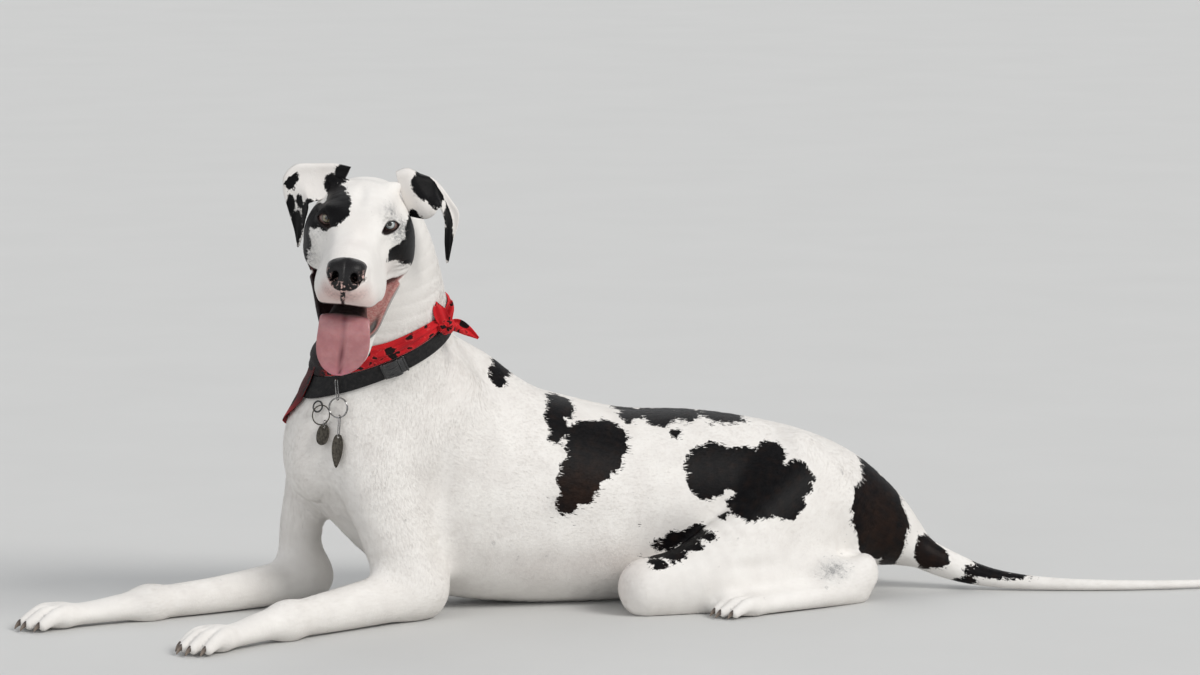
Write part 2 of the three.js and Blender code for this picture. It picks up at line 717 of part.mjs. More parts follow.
body = body.subtract(
  beyond(sub(fromHead(THROAT_CUT.point), times(unit(throatFacing), CUT)), throatFacing, 220, 400),
);
head = head.intersect(beyond(THROAT_CUT.point, THROAT_CUT.facing));
part("neck", (grow) => past({ point: COLLAR.centre, facing: COLLAR.facing }, grow));
part("tail", (grow) => past(TAIL_CUT, grow), fine(TAIL.slice(1), 45, 5, 640));

// Cuts: the limbs. The shoulders are turned with the front of the chest.

const SHOULDER = [
  [-168, 372], [-134, 322], [-172, 235], [-196, 120], [-204, 20], [-230, -30], [-350, -30],
  [-372, 40], [-372, 150], [-390, 250], [-340, 330], [-250, 378],
];
const THIGH = [
  [8, 12], [20, 62], [84, 92], [170, 132], [250, 178], [330, 226], [420, 232], [500, 176],
  [548, 110], [560, 66], [470, 66], [360, 78], [240, 78], [100, 78], [60, 40], [30, 8],
];
const LOWER_LEG = [
  [20, -20], [14, 44], [60, 84], [110, 96], [240, 92], [360, 90], [470, 82], [540, 70], [545, -20],
  [300, -26],
];

for (const [name, leg, side] of [["left", FORE_LEFT, -1], ["right", FORE_RIGHT, 1]]) {
  const facing = unit([Math.cos(leg.heading), Math.sin(leg.heading), 0]);
  const wrist = leg.pastern[0].slice(0, 3);
  const elbow = add(leg.arm[3].slice(0, 3), times(facing, 40));
  const ahead = side > 0 ? -96 : 0; // the right leg lies this much further forward
  part("paw_front_" + name, (grow) => past({ point: wrist, facing }, grow, 110, 260),
    fine([leg.pastern[0], leg.paw], 75, 5, 560));
  part("forearm_" + name, (grow) => past({ point: elbow, facing }, grow, 80 + grow, 300));
  part("upper_arm_" + name, (grow) => flank({
    outline: SHOULDER.map(([x, z]) => [x + ahead, z]), inner: side > 0 ? 74 : -52, side,
  }, grow));
}
for (const [name, leg, side] of [["left", HIND_LEFT, -1], ["right", HIND_RIGHT, 1]]) {
  const facing = unit([Math.cos(leg.heading), Math.sin(leg.heading), 0]);
  const hock = leg.foot[1].slice(0, 3);
  const foot = (grow) => past({ point: hock, facing }, grow, 300, 300)
    .intersect(beyond([hock[0], hock[1] + side * (6 - grow), 0], [0.24, side, -0.42]));
  part("paw_hind_" + name, foot, fine([leg.foot[1], leg.paw], 46, 5, 560));
  part("thigh_" + name, (grow) => flank({ outline: THIGH, inner: 62 * side, side }, grow));
  part("lower_leg_" + name, (grow) => flank({ outline: LOWER_LEG, inner: 78 * side, side }, grow));
}
place(dog, "torso", body, finish.coat);

// Tongue, over the front of the jaw

const TONGUE = [
  [20, 0, -128, 24, 10], [60, 0, -132, 29, 11], [96, 0, -128, 33, 11], [116, 0, -118, 36, 9],
  [130, 0, -115, 38, 7.5], [138, 1, -128, 39.5, 6.5], [140, 1, -148, 40.5, 5.5],
  [140, 0, -166, 38, 5], [139, -2, -184, 29, 4.5], [138, -4, -196, 16, 4], [138, -5, -200, 8, 3],
];
const tongueMesh = strap(TONGUE, 10, 20, [0, 1, 0]);
const tongueRoom = fleshSolid(swollen(tongueMesh, GAP));
place(headGroup, "tongue", fleshSolid(tongueMesh), finish.tongue);
head = head.subtract(tongueRoom);

// The head's own pieces. The jaw parts from it along the open mouth.

const jawFrame = new THREE.Matrix4().makeRotationY(THREE.MathUtils.degToRad(14));
jawFrame.setPosition(-46, 0, -94);
headPart("lower_jaw", (grow) => block([8 - grow, -110, -160], [300, 110, grow], jawFrame), finish.coat);
headPart("nose", (grow) => block([158 - grow, -36 - grow, -52 - grow], [230, 36 + grow, 30]), finish.nose);
for (const [name, side] of [["left", 1], ["right", -1]]) {
  const ball = (radius) => solidOf(
    new THREE.SphereGeometry(radius, 14, 9).rotateZ(Math.PI / 2).translate(-4, EYE_APART * side, 0),
  );
  place(headGroup, "eye_" + name, ball(EYE_RADIUS), finish.eye);
  head = head.subtract(ball(EYE_RADIUS + GAP));
}
place(headGroup, "head", head, finish.coat);

// Ears: two edges of the leather, each from the skull to the tip, and how far it bows out between them

const EAR_RIGHT = {
  outer: [
    [-95, -24, 54], [-100, -50, 55], [-100, -80, 52], [-100, -109, 47], [-96, -125, 30],
    [-92, -125, 7], [-88, -116, -20], [-81, -103, -52], [-75, -96, -76],
  ],
  inner: [
    [-70, -40, 24], [-60, -66, 24], [-54, -78, 18], [-51, -82, 9], [-52, -82, -3],
    [-56, -83, -15], [-61, -86, -30], [-68, -89, -57], [-75, -94, -77],
  ],
  bow: [2, 8, 12, 12, 10, 7, 5, 2, 0],
};
const EAR_LEFT = {
  outer: [
    [-92, 46, 56], [-96, 63, 62], [-98, 82, 54], [-100, 98, 48], [-100, 114, 35], [-98, 131, 17],
    [-96, 146, -1], [-94, 147, -23], [-92, 142, -46], [-90, 138, -82],
  ],
  inner: [
    [-78, 70, -10], [-66, 97, -8], [-60, 110, 1], [-60, 116, 12], [-64, 120, 13], [-70, 124, 4],
    [-74, 128, -12], [-78, 129, -30], [-83, 130, -51], [-89, 134, -83],
  ],
  bow: [0, -10, -9, -3, 3, 6, 6, 4, 2, 0],
};

// An ear: leather a few millimetres thick, bowed across, thinner to its edges and to its tip.
function ear({ outer, inner, bow }, side) {
  const smooth = (points) => new THREE.CatmullRomCurve3(points.map((p) => new THREE.Vector3(...p)));
  const [first, second] = [smooth(outer), smooth(inner)];
  const bows = smooth(bow.map((b) => [b, 0, 0]));
  const [rows, columns] = [12, 6];
  const rings = [];
  for (let i = 0; i <= rows; i++) {
    const t = i / rows;
    const [a, b] = [first.getPoint(t).toArray(), second.getPoint(t).toArray()];
    const along = add(first.getTangent(t).toArray(), second.getTangent(t).toArray());
    const out = times(unit(cross(along, sub(b, a))), side);
    const thick = 3.4 - 1.6 * t;
    const at = (v, face) => {
      const off = bows.getPoint(t).x * (1 - v * v) + face * thick * Math.sqrt(1 - v ** 4);
      return add(mix(a, b, (v + 1) / 2), times(out, off));
    };
    const across = Array.from({ length: columns + 1 }, (_, j) => (2 * j) / columns - 1);
    const ring = [...across.map((v) => at(v, 1)), ...across.slice(1, -1).reverse().map((v) => at(v, -1))];
    rings.push(side > 0 ? ring.reverse() : ring);
  }
  return ringed(rings);
}

const skullRoom = fleshSolid(swollen(headMesh, GAP));
for (const [name, edges, side] of [["left", EAR_LEFT, 1], ["right", EAR_RIGHT, -1]])
  place(headGroup, "ear_" + name, fleshSolid(ear(edges, side)).subtract(skullRoom), finish.coat);

// Collar: a loop of webbing that follows the skin, in a frame of its own

const bodyRoom = fleshSolid(swollen(bodyMesh, GAP));
const forward = [-1, 0, 0];
const toThroat = unit(sub(forward, times(COLLAR.facing, dot(forward, COLLAR.facing))));
const toLeft = cross(COLLAR.facing, toThroat);
const radians = THREE.MathUtils.degToRad;

const nearCollar = bodyMesh.faces.map((f) => f.map((v) => bodyMesh.points[v]))
  .filter((f) => Math.hypot(...sub(f[0], COLLAR.centre)) < 300);

// Distance from a point inside the body to where a way out of it leaves the skin.
function skinAlong(from, way) {
  let least = Infinity;
  for (const [a, b, c] of nearCollar) {
    const [e, f, d] = [sub(b, a), sub(c, a), sub(from, a)];
    const [h, q] = [cross(way, f), cross(d, e)];
    const size = dot(e, h);
    const [u, v, t] = [dot(d, h) / size, dot(way, q) / size, dot(f, q) / size];
    if (size < 0 && u >= 0 && v >= 0 && u + v <= 1 && t > 30) least = Math.min(least, t);
  }
  return least;
}

// A point over the skin: degrees round the neck from the throat towards the dog's left, the height
// over the middle of the webbing and the distance out from the skin.
function over(degrees, height, off) {
  const from = add(COLLAR.centre, times(COLLAR.facing, height));
  const [c, s] = [Math.cos(radians(degrees)), Math.sin(radians(degrees))];
  const way = add(times(toThroat, c), times(toLeft, s));
  return add(from, times(way, skinAlong(from, way) + off));
}

// A band right round the neck, whose section is a list of [height, distance out] for each angle.
function hoop(steps, section) {
  const angles = Array.from({ length: steps }, (_, i) => (360 * i) / steps);
  return ringed(angles.map((a) => section(a).map(([height, off]) => over(a, height, off))), true);
}

// The way round, out and up at a place on the neck, as the columns of a matrix that puts things there.
function spot(degrees, height, off) {
  const at = over(degrees, height, off);
  const up = unit(sub(over(degrees, height + 6, off), over(degrees, height - 6, off)));
  const round = unit(sub(over(degrees + 3, height, off), over(degrees - 3, height, off)));
  const out = unit(cross(round, up));
  const basis = new THREE.Matrix4().makeBasis(...[round, up, out].map((v) => new THREE.Vector3(...v)));
  return basis.setPosition(...at);
}

const half = WEBBING_WIDE / 2;
const CLEAR = 2; // room under webbing and cloth, which the edges of the skin's facets take up
const webbing = (grow) => fleshSolid(hoop(40, () => [
  [-half - grow, CLEAR - 5 * grow], [half + grow, CLEAR - 5 * grow],
  [half + grow, CLEAR + WEBBING_THICK + grow], [-half - grow, CLEAR + WEBBING_THICK + grow],
]));

// Buckle: a moulded block with rounded ends, longer round the neck than it is high

function rounded(wide, high, deep, radius) {
  const shape = new THREE.Shape();
  const [x, y] = [wide / 2, high / 2];
  shape.moveTo(-x + radius, -y);
  shape.lineTo(x - radius, -y);
  shape.absarc(x - radius, -y + radius, radius, -Math.PI / 2, 0);
  shape.absarc(x - radius, y - radius, radius, 0, Math.PI / 2);
  shape.absarc(-x + radius, y - radius, radius, Math.PI / 2, Math.PI);
  shape.absarc(-x + radius, -y + radius, radius, Math.PI, 1.5 * Math.PI);
  return new THREE.ExtrudeGeometry(shape, { depth: deep, bevelEnabled: false, curveSegments: 3 });
}

const BUCKLE = { at: 87, long: 38, high: 29, deep: 9 };
const buckleSpot = spot(BUCKLE.at, 0, 0);
const buckle = (grow) => solidOf(
  rounded(BUCKLE.long + 2 * grow, BUCKLE.high + 2 * grow, BUCKLE.deep + grow, 6)
    .applyMatrix4(buckleSpot),
);
place(dog, "buckle", buckle(0).subtract(bodyRoom), finish.buckle);
place(dog, "collar", webbing(0).subtract(bodyRoom).subtract(buckle(GAP)), finish.webbing);

// Bandana: folded cloth above the webbing, bunched on the right, with a corner that hangs there

const KNOT = { at: 137, height: 19, size: 13 };
const gauss = (degrees, middle, spread) => {
  const away = ((degrees - middle + 540) % 360) - 180;
  return Math.exp(-((away / spread) ** 2));
};
const clothWide = (a) => 37 - 14 * gauss(a, KNOT.at, 45);
const clothOut = (a) => 4.8 + 12 * gauss(a, -55, 50);
const band = fleshSolid(hoop(40, (a) => {
  const [low, high] = [half + GAP, half + clothWide(a)];
  const out = clothOut(a);
  return [
    [low, CLEAR], [high, CLEAR], [high, CLEAR + out * 0.5], [high - (high - low) * 0.4, CLEAR + out],
    [low, CLEAR + out * 0.8],
  ];
}));
const CORNER = { from: -112, to: -14, tip: -58, drop: 92 };
const cornerRows = Array.from({ length: 11 }, (_, i) => CORNER.from + ((CORNER.to - CORNER.from) * i) / 10);
const corner = fleshSolid(ringed(cornerRows.map((a) => {
  const reach = a < CORNER.tip ? (a - CORNER.from) / (CORNER.tip - CORNER.from)
    : (CORNER.to - a) / (CORNER.to - CORNER.tip);
  const low = -half - 2 - (CORNER.drop - half) * reach;
  const steps = [low, (low - half) / 2, -half, half, half + 12];
  return [
    ...steps.map((h) => [h, h < -half ? 3.4 : 6.2]),
    ...steps.toReversed().map((h) => [h, (h < -half ? 3.4 : 6.2) + CLOTH_THICK]),
  ].map(([height, off]) => over(a, height, off));
})));
const cloth = band.add(corner).subtract(bodyRoom).subtract(webbing(GAP)).subtract(buckle(GAP));
place(dog, "bandana", cloth, finish.cloth);

// Knot: a wrapped lump with three ends of cloth, each [x, y, z, half width, half thickness] from it

const knotAt = over(KNOT.at, KNOT.height, 15);
const KNOT_ENDS = [
  [[0, 0, 0, 7, 4], [-7, -5, 14, 11, 3.5], [-13, -2, 27, 9, 2.5], [-16, 2, 38, 3, 1.5]],
  [[0, 0, 0, 7, 4], [5, 6, 16, 8, 3.5], [8, 6, 28, 7, 2.5], [9, 4, 40, 3, 1.5]],
  [[0, 0, 0, 7, 4], [17, 4, 1, 10, 3.5], [34, 3, -8, 8, 2.5], [50, -2, -20, 3, 1.5]],
];
const lumpOfKnot = new THREE.SphereGeometry(1, 10, 7).scale(KNOT.size * 1.15, KNOT.size * 0.8, KNOT.size * 0.9)
  .translate(...knotAt);
const knot = KNOT_ENDS.reduce((solid, end) => {
  const stations = end.map(([x, y, z, ...size]) => [...add(knotAt, [x, y, z]), ...size]);
  const across = cross([0.2, -0.95, 0.1], sub(end.at(-1), end[0]));
  return solid.add(fleshSolid(strap(stations, 6, 6, across)));
}, solidOf(lumpOfKnot));
const clothRoom = fleshSolid(swollen(meshOf(band), GAP));
place(dog, "bandana_knot", knot.subtract(bodyRoom).subtract(clothRoom), finish.cloth);

// Rings and tags on the chest

// Round wire bent along a closed path of points.
function wireLoop(path, wire) {
  const curve = new THREE.CatmullRomCurve3(path.map((p) => new THREE.Vector3(...p)), true);
  const normal = unit(cross(sub(path[1], path[0]), sub(path[2], path[1])));
  const rings = path.map((centre, i) => {
    const side = cross(normal, curve.getTangent(i / path.length).toArray());
    return Array.from({ length: 6 }, (_, j) => {
      const angle = (Math.PI * j) / 3;
      return add(centre, times(add(times(side, Math.cos(angle)), times(normal, Math.sin(angle))), wire));
    });
  });
  return fleshSolid(ringed(rings, true));
}

// The way out of the skin at a place on the neck, made square to a direction along it.
function outAt([degrees, height], up) {
  const out = new THREE.Vector3().setFromMatrixColumn(spot(degrees, height, 0), 2).toArray();
  return unit(cross(cross(up, out), up));
}

// A circle of wire between a highest and a lowest place over the neck, each given as for over, turned
// about the line that joins them.
function wireRing(high, low, wire, turn = 0) {
  const [top, bottom] = [over(...high), over(...low)];
  const middle = mix(top, bottom, 0.5);
  const up = times(sub(top, bottom), 0.5);
  const out = outAt(mix(high, low, 0.5), up);
  const flat = unit(cross(up, out));
  const side = times(
    add(times(flat, Math.cos(radians(turn))), times(out, Math.sin(radians(turn)))), Math.hypot(...up),
  );
  return wireLoop(Array.from({ length: 12 }, (_, i) => {
    const angle = (Math.PI * i) / 6;
    return add(middle, add(times(up, Math.cos(angle)), times(side, Math.sin(angle))));
  }), wire);
}

// A long link that stands square to the skin, between two heights of its wire, round two half circles.
function standingLink(degrees, high, low, off, bend, wire) {
  const arc = (height, from) => Array.from({ length: 6 }, (_, i) => {
    const angle = from + (Math.PI * i) / 5;
    return [height + bend * Math.sin(angle), off + bend * Math.cos(angle)];
  });
  const path = [...arc(high - bend, 0), ...arc(low + bend, Math.PI)];
  const [top, bottom] = [over(degrees, high - bend, off), over(degrees, low + bend, off)];
  const up = unit(sub(top, bottom));
  const out = outAt([degrees, (high + low) / 2], up);
  const long = high - low - 2 * bend;
  const stretch = long ? Math.hypot(...sub(top, bottom)) / long : 1;
  const middle = mix(top, bottom, 0.5);
  return wireLoop(path.map(([height, away]) => add(middle, add(
    times(up, (height - (high + low) / 2) * stretch), times(out, away - off),
  ))), wire);
}

// A flat tag that hangs from a hole near its top. Its rim is drawn from the hole downwards.
function tag(degrees, height, off, rim, thick) {
  const shape = new THREE.Shape(new THREE.SplineCurve(rim.map((p) => new THREE.Vector2(...p))).getPoints(18));
  shape.holes.push(new THREE.Path().absarc(0, 0, 2.2, 0, 2 * Math.PI));
  return solidOf(new THREE.ExtrudeGeometry(shape, { depth: thick, bevelEnabled: false, curveSegments: 4 })
    .translate(0, 0, -thick / 2).applyMatrix4(spot(degrees, height, off)));
}

const CHAIN_AT = 35; // degrees round the neck where the tags hang
place(dog, "collar_link", standingLink(CHAIN_AT, half, -half - 5.2, 12, 3.6, 0.9), finish.steel);
place(dog, "split_ring", wireRing([CHAIN_AT, -14, 12], [CHAIN_AT + 0.6, -41, 8.5], RING_WIRE), finish.steel);
place(dog, "tag_link", standingLink(CHAIN_AT + 0.8, -37.6, -65, 8, 3.2, 0.9), finish.steel);
place(dog, "tag_long", tag(CHAIN_AT + 0.8, -65, 8, [
  [0, 4.6], [5, 2], [8.5, -6], [9.5, -18], [7.5, -32], [2.5, -46], [0, -49],
  [-2.5, -46], [-7.5, -32], [-9.5, -18], [-8.5, -6], [-5, 2], [0, 4.6],
], 2), finish.tag);

place(dog, "d_ring", wireRing([17.5, -15.4, 8], [22, -27, 8], 1.5), finish.buckle);
place(dog, "tag_ring", wireRing([20.5, -20, 12.5], [27.5, -43, 9.5], 1), finish.tag);
place(dog, "tag_eye", wireRing([27.3, -39.6, 9.5], [27.3, -47.6, 9.5], 0.8, 90), finish.steel);
place(dog, "tag_round", tag(27.3, -47.4, 9.5, [
  [0, 4], [6, 2], [10, -5], [11, -15], [8, -25], [0, -29],
  [-8, -25], [-11, -15], [-10, -5], [-6, 2], [0, 4],
], 2), finish.tag);

export default dog;
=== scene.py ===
# The great dane's looks: skin, short coat, eyes, nose, tongue, claws, collar, bandana, rings and tags.
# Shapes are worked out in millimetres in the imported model's own frame, and become metres in the mesh.
import math

import bpy
import numpy as np
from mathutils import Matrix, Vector


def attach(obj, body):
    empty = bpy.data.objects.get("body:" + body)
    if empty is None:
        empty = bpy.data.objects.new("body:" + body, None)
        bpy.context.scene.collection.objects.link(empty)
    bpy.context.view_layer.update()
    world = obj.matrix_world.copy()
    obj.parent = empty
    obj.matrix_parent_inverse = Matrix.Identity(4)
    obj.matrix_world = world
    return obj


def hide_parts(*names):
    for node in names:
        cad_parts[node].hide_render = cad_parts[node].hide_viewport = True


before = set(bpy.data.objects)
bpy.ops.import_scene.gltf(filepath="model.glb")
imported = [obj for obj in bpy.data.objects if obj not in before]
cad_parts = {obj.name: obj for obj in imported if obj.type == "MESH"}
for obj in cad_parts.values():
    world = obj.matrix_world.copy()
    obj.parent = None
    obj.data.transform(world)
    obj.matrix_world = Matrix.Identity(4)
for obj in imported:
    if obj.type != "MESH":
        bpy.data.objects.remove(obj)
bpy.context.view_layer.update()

MM = 0.001

# Camera: 9.3 m away, 10 degrees over the ground, turned 15 degrees towards the dog's head

VIEW_TURN = math.radians(-15)
VIEW_RISE = math.radians(10)
VIEW_FAR = 9.3
VIEW_AIM = Vector((0, -0.225, 0))  # a point on the ground that the photograph shows at the pixel below
VIEW_PIXEL = (600, 625)
PICTURE = (1200, 675)
FOCAL_PIXELS = 5950
SENSOR = 36


def place_camera():
    """Camera on a circle round the aim point, dipped so that this point falls on its pixel."""
    level = Vector((-math.sin(VIEW_TURN), math.cos(VIEW_TURN), 0))
    off = math.atan((VIEW_PIXEL[1] - PICTURE[1] / 2) / FOCAL_PIXELS)
    dip = VIEW_RISE - off
    data = bpy.data.cameras.new("view")
    data.sensor_width = SENSOR
    data.lens = SENSOR * FOCAL_PIXELS / PICTURE[0]
    data.clip_end = 60
    camera = bpy.data.objects.new("view", data)
    bpy.context.scene.collection.objects.link(camera)
    camera.location = VIEW_AIM - level * VIEW_FAR * math.cos(VIEW_RISE)
    camera.location.z += VIEW_FAR * math.sin(VIEW_RISE)
    towards = level * math.cos(dip) - Vector((0, 0, math.sin(dip)))
    camera.rotation_euler = towards.to_track_quat("-Z", "Y").to_euler()
    bpy.context.scene.camera = camera


place_camera()

# Fields: functions of points, one a row, that are below zero inside the flesh, in millimetres

FAR = 60  # past this a field need only be roughly right


def unit(v):
    """Rows of v made one long."""
    return v / np.maximum(np.linalg.norm(v, axis=-1, keepdims=True), 1e-9)


def blend(width, *fields):
    """Smooth join: the least of the fields, less (1 - gap / width) squared times width / 4 where two
    of them are nearer than width. The width may itself be a function of the points."""

    def joined(p):
        wide = width(p) if callable(width) else width
        d = fields[0](p)
        for field in fields[1:]:
            e = field(p)
            near = np.maximum(wide - np.abs(d - e), 0) / wide
            d = np.minimum(d, e) - near * near * wide / 4
        return d

    return joined


def scoop(width, solid, hollow):
    """Solid with a hollow taken out, its rim rounded over the width."""

    def left(p):
        a = solid(p)
        b = -hollow(p)
        near = np.maximum(width - np.abs(a - b), 0) / width
        return np.maximum(a, b) + near * near * width / 4

    return left


def lump(at, sizes, turn=0.0, dip=0.0):
    """Oval lump: (|(u, v, w) / sizes| - 1) times the least size, turned about Z and then about Y."""
    c, s, e, t = math.cos(turn), math.sin(turn), math.cos(dip), math.sin(dip)

    def field(p):
        x, y, z = (p - at).T
        ahead = x * c + y * s
        across = y * c - x * s
        u = ahead * e - z * t
        w = ahead * t + z * e
        away = np.sqrt((u / sizes[0]) ** 2 + (across / sizes[1]) ** 2 + (w / sizes[2]) ** 2)
        return (away - 1) * min(sizes)

    return field


def smooth_path(stations, steps):
    """Points of a cubic through the stations, whose slope at each is half the way between its
    neighbours."""
    rows = np.array(stations, float)
    if len(rows) < 3:
        return rows
    before = np.vstack([rows[:1], rows[:-1]])
    after = np.vstack([rows[1:], rows[-1:]])
    slope = (after - before) / 2
    t = (np.arange(steps) / steps)[:, None]
    path = [
        (2 * t**3 - 3 * t**2 + 1) * rows[i] + (t**3 - 2 * t**2 + t) * slope[i]
        + (3 * t**2 - 2 * t**3) * rows[i + 1] + (t**3 - t**2) * slope[i + 1]
        for i in range(len(rows) - 1)
    ]
    return np.vstack([*path, rows[-1:]])


def limb(stations, power=2, up=(0, 0, 1), steps=5):
    """Flesh along a path of [x, y, z, half width, half height]: at each piece of it (r - 1) times the
    lesser size, where r to the power is the sum of |across / width| and |over / height|, each to the
    power."""
    path = smooth_path(stations, steps)
    widest = path[:, 3:].max()
    low, high = path[:, :3].min(0) - widest, path[:, :3].max(0) + widest

    def field(p):
        d = np.maximum(low - p, p - high).max(1)
        close = d <= FAR
        q = p[close]
        best = np.full(len(q), np.inf)
        for start, end in zip(path[:-1], path[1:]):
            way = end[:3] - start[:3]
            length = np.linalg.norm(way)
            axis = way / length
            side = unit(np.cross(up, axis))
            top = np.cross(axis, side)
            x = q - start[:3]
            along = x @ axis
            t = np.clip(along / length, 0, 1)
            wide = start[3] + (end[3] - start[3]) * t
            tall = start[4] + (end[4] - start[4]) * t
            least = np.minimum(wide, tall)
            w = (x @ side) / wide
            h = (x @ top) / tall
            past = (along - length * t) / least
            ring = w * w + h * h if power == 2 else (np.abs(w) ** power + np.abs(h) ** power) ** (2 / power)
            best = np.minimum(best, (np.sqrt(ring + past * past) - 1) * least)
        d[close] = best
        return d

    return field


def circle(count):
    """Angles spaced evenly all the way round."""
    return np.linspace(0, 2 * math.pi, count, endpoint=False)


def boxy(value, power):
    """Value to a power, with its own sign, which squares a circle's corners where it is under one."""
    return np.sign(value) * np.abs(value) ** power


def mirror(rows, middle=0):
    """Rows of x, y and more on the other side of a middle plane."""
    return [[x, 2 * middle - y, *rest] for x, y, *rest in rows]


def moulded(field, marks):
    """Field raised or sunk by soft marks [x, y, z, size x, size y, size z, height]: height times
    exp(-|(p - at) / size| squared) outwards each."""
    table = np.array(marks, float)

    def shaped(p):
        d = field(p)
        for mark in table:
            near = (((p - mark[:3]) / mark[3:6]) ** 2).sum(1)
            d = d - mark[6] * np.exp(-near)
        return d

    return shaped


# The trunk and the legs, as the solids have them

TRUNK = [
    [-408, -18, 232, 46, 60], [-366, -4, 254, 82, 90], [-296, 16, 244, 118, 132],
    [-180, 28, 200, 142, 180], [-60, 30, 170, 150, 174], [80, 26, 152, 150, 158],
    [220, 18, 150, 134, 151], [340, 8, 153, 120, 124], [430, 2, 142, 108, 98],
    [510, -4, 106, 82, 70], [552, -8, 84, 50, 46],
]
NECK = [
    [-305, 5, 300, 94, 122], [-296, -28, 420, 98, 104], [-306, -66, 510, 86, 95],
    [-326, -98, 595, 73, 84], [-345, -114, 632, 62, 68],
]
TAIL = [
    [535, -6, 98, 34, 34], [582, -24, 64, 30, 29], [640, -46, 36, 25, 24], [700, -72, 19, 18, 17],
    [780, -102, 11.5, 13.5, 12.5], [900, -134, 9, 11.5, 10], [1030, -148, 8, 10, 8.5],
    [1110, -138, 6.5, 8, 7],
]
FORE_LEFT = {
    "arm": [[-190, -58, 352, 30, 66], [-312, -82, 256, 52, 68], [-306, -104, 150, 46, 56],
            [-268, -104, 52, 42, 50]],
    "forearm": [[-250, -92, 42, 36, 44], [-300, -120, 42, 38, 42], [-400, -174, 35, 32, 36],
                [-500, -231, 30, 28, 29]],
    "pastern": [[-500, -231, 30, 29, 29], [-540, -253, 28, 28, 25], [-590, -280, 21, 28, 20],
                [-620, -295, 20, 33, 21]],
    "paw": (-640, -305, 20),
    "heading": math.atan2(-0.494, -0.869),
    "size": 1,
}
FORE_RIGHT = {
    "arm": [[-210, 84, 345, 30, 66], [-360, 72, 262, 42, 52], [-402, 98, 150, 34, 37],
            [-406, 110, 52, 36, 37]],
    "forearm": [[-386, 108, 40, 34, 38], [-440, 84, 36, 36, 36], [-560, 38, 29, 32, 30],
                [-672, 4, 26, 28, 27]],
    "pastern": [[-672, 4, 26, 29, 27], [-715, -8, 24, 28, 23], [-775, -22, 20, 28, 19],
                [-812, -30, 20, 33, 20]],
    "paw": (-838, -36, 20),
    "heading": math.atan2(-0.27, -0.963),
    "size": 1,
}
HIND_LEFT = {
    "thigh": [[400, -66, 146, 62, 104], [300, -112, 104, 62, 84], [200, -140, 68, 54, 62],
              [96, -148, 42, 40, 42]],
    "shank": [[100, -142, 40, 38, 42], [240, -146, 44, 38, 46], [380, -136, 43, 27, 38],
              [462, -124, 40, 21, 34]],
    "foot": [[462, -126, 30, 20, 30], [390, -160, 21, 21, 22], [300, -190, 18, 23, 19],
             [258, -201, 17, 27, 19]],
    "paw": (230, -207, 17),
    "heading": math.atan2(-0.24, -0.971),
    "size": 0.88,
}
HIND_RIGHT = {
    "thigh": mirror(HIND_LEFT["thigh"]),
    "shank": mirror(HIND_LEFT["shank"]),
    "foot": mirror(HIND_LEFT["foot"]),
    "paw": (230, 207, 17),
    "heading": math.atan2(0.24, -0.971),
    "size": 0.88,
}
LEGS = [FORE_LEFT, FORE_RIGHT, HIND_LEFT, HIND_RIGHT]
TOES = (-27, -9.5, 9.5, 27)  # across each paw


def paw_place(leg, ahead, across, height):
    """Point of a paw, given along its heading, across it and over the floor."""
    c, s = math.cos(leg["heading"]), math.sin(leg["heading"])
    x, y, _ = leg["paw"]
    k = leg["size"]
    return [x + (c * ahead - s * across) * k, y + (s * ahead + c * across) * k, height * k]


def paw_shape(leg):
    """Paw: four toes of two joints each in an arch, the middle pair longest, over a core."""
    k = leg["size"]
    toes = []
    for across in TOES:
        ahead = 14 if abs(across) < 15 else 0
        toes.append(limb([
            [*paw_place(leg, -24, across * 0.7, 23), 14 * k, 15 * k],
            [*paw_place(leg, ahead - 8, across * 0.95, 25), 12.6 * k, 14.6 * k],
            [*paw_place(leg, ahead + 6, across * 1.02, 20.5), 11.8 * k, 13.8 * k],
            [*paw_place(leg, ahead + 22, across * 1.06, 12), 10.5 * k, 11.5 * k],
        ], steps=3))
    core = lump(paw_place(leg, -12, 0, 17), [34 * k, 32 * k, 19 * k], leg["heading"])
    return blend(7, core, blend(2.2, *toes))


def fold_width(p):
    """Width of the join of thigh and trunk: narrow along the fold of the flank, wide at the rump."""
    return 9 + 34 / (1 + np.exp((330 - p[:, 0] - 0.7 * (p[:, 2] - 110)) / 26))


neck = limb(NECK, 2, (1, 0, 0))
trunk = blend(60, limb(TRUNK, steps=6), lump((-190, 20, 331), (82, 54, 92), 0, 0.25), neck)
arms = [blend(30, limb(leg["arm"], 2, (1, 0, 0)), limb(leg["forearm"])) for leg in LEGS[:2]]
feet = [blend(12, limb(leg["pastern"]), paw_shape(leg)) for leg in LEGS[:2]]
thighs = [blend(34, limb(leg["thigh"]), limb(leg["shank"])) for leg in LEGS[2:]]
hocks = [blend(12, limb(leg["foot"]), paw_shape(leg)) for leg in LEGS[2:]]
plain_body = blend(
    24,
    blend(fold_width, blend(44, trunk, *arms), *thighs),
    blend(12, *feet, *hocks),
    limb(TAIL),
)

# What the muscles and bones under the coat add: x, y, z, size x, size y, size z, height. The left side
# is listed, and most of it is mirrored for the right.

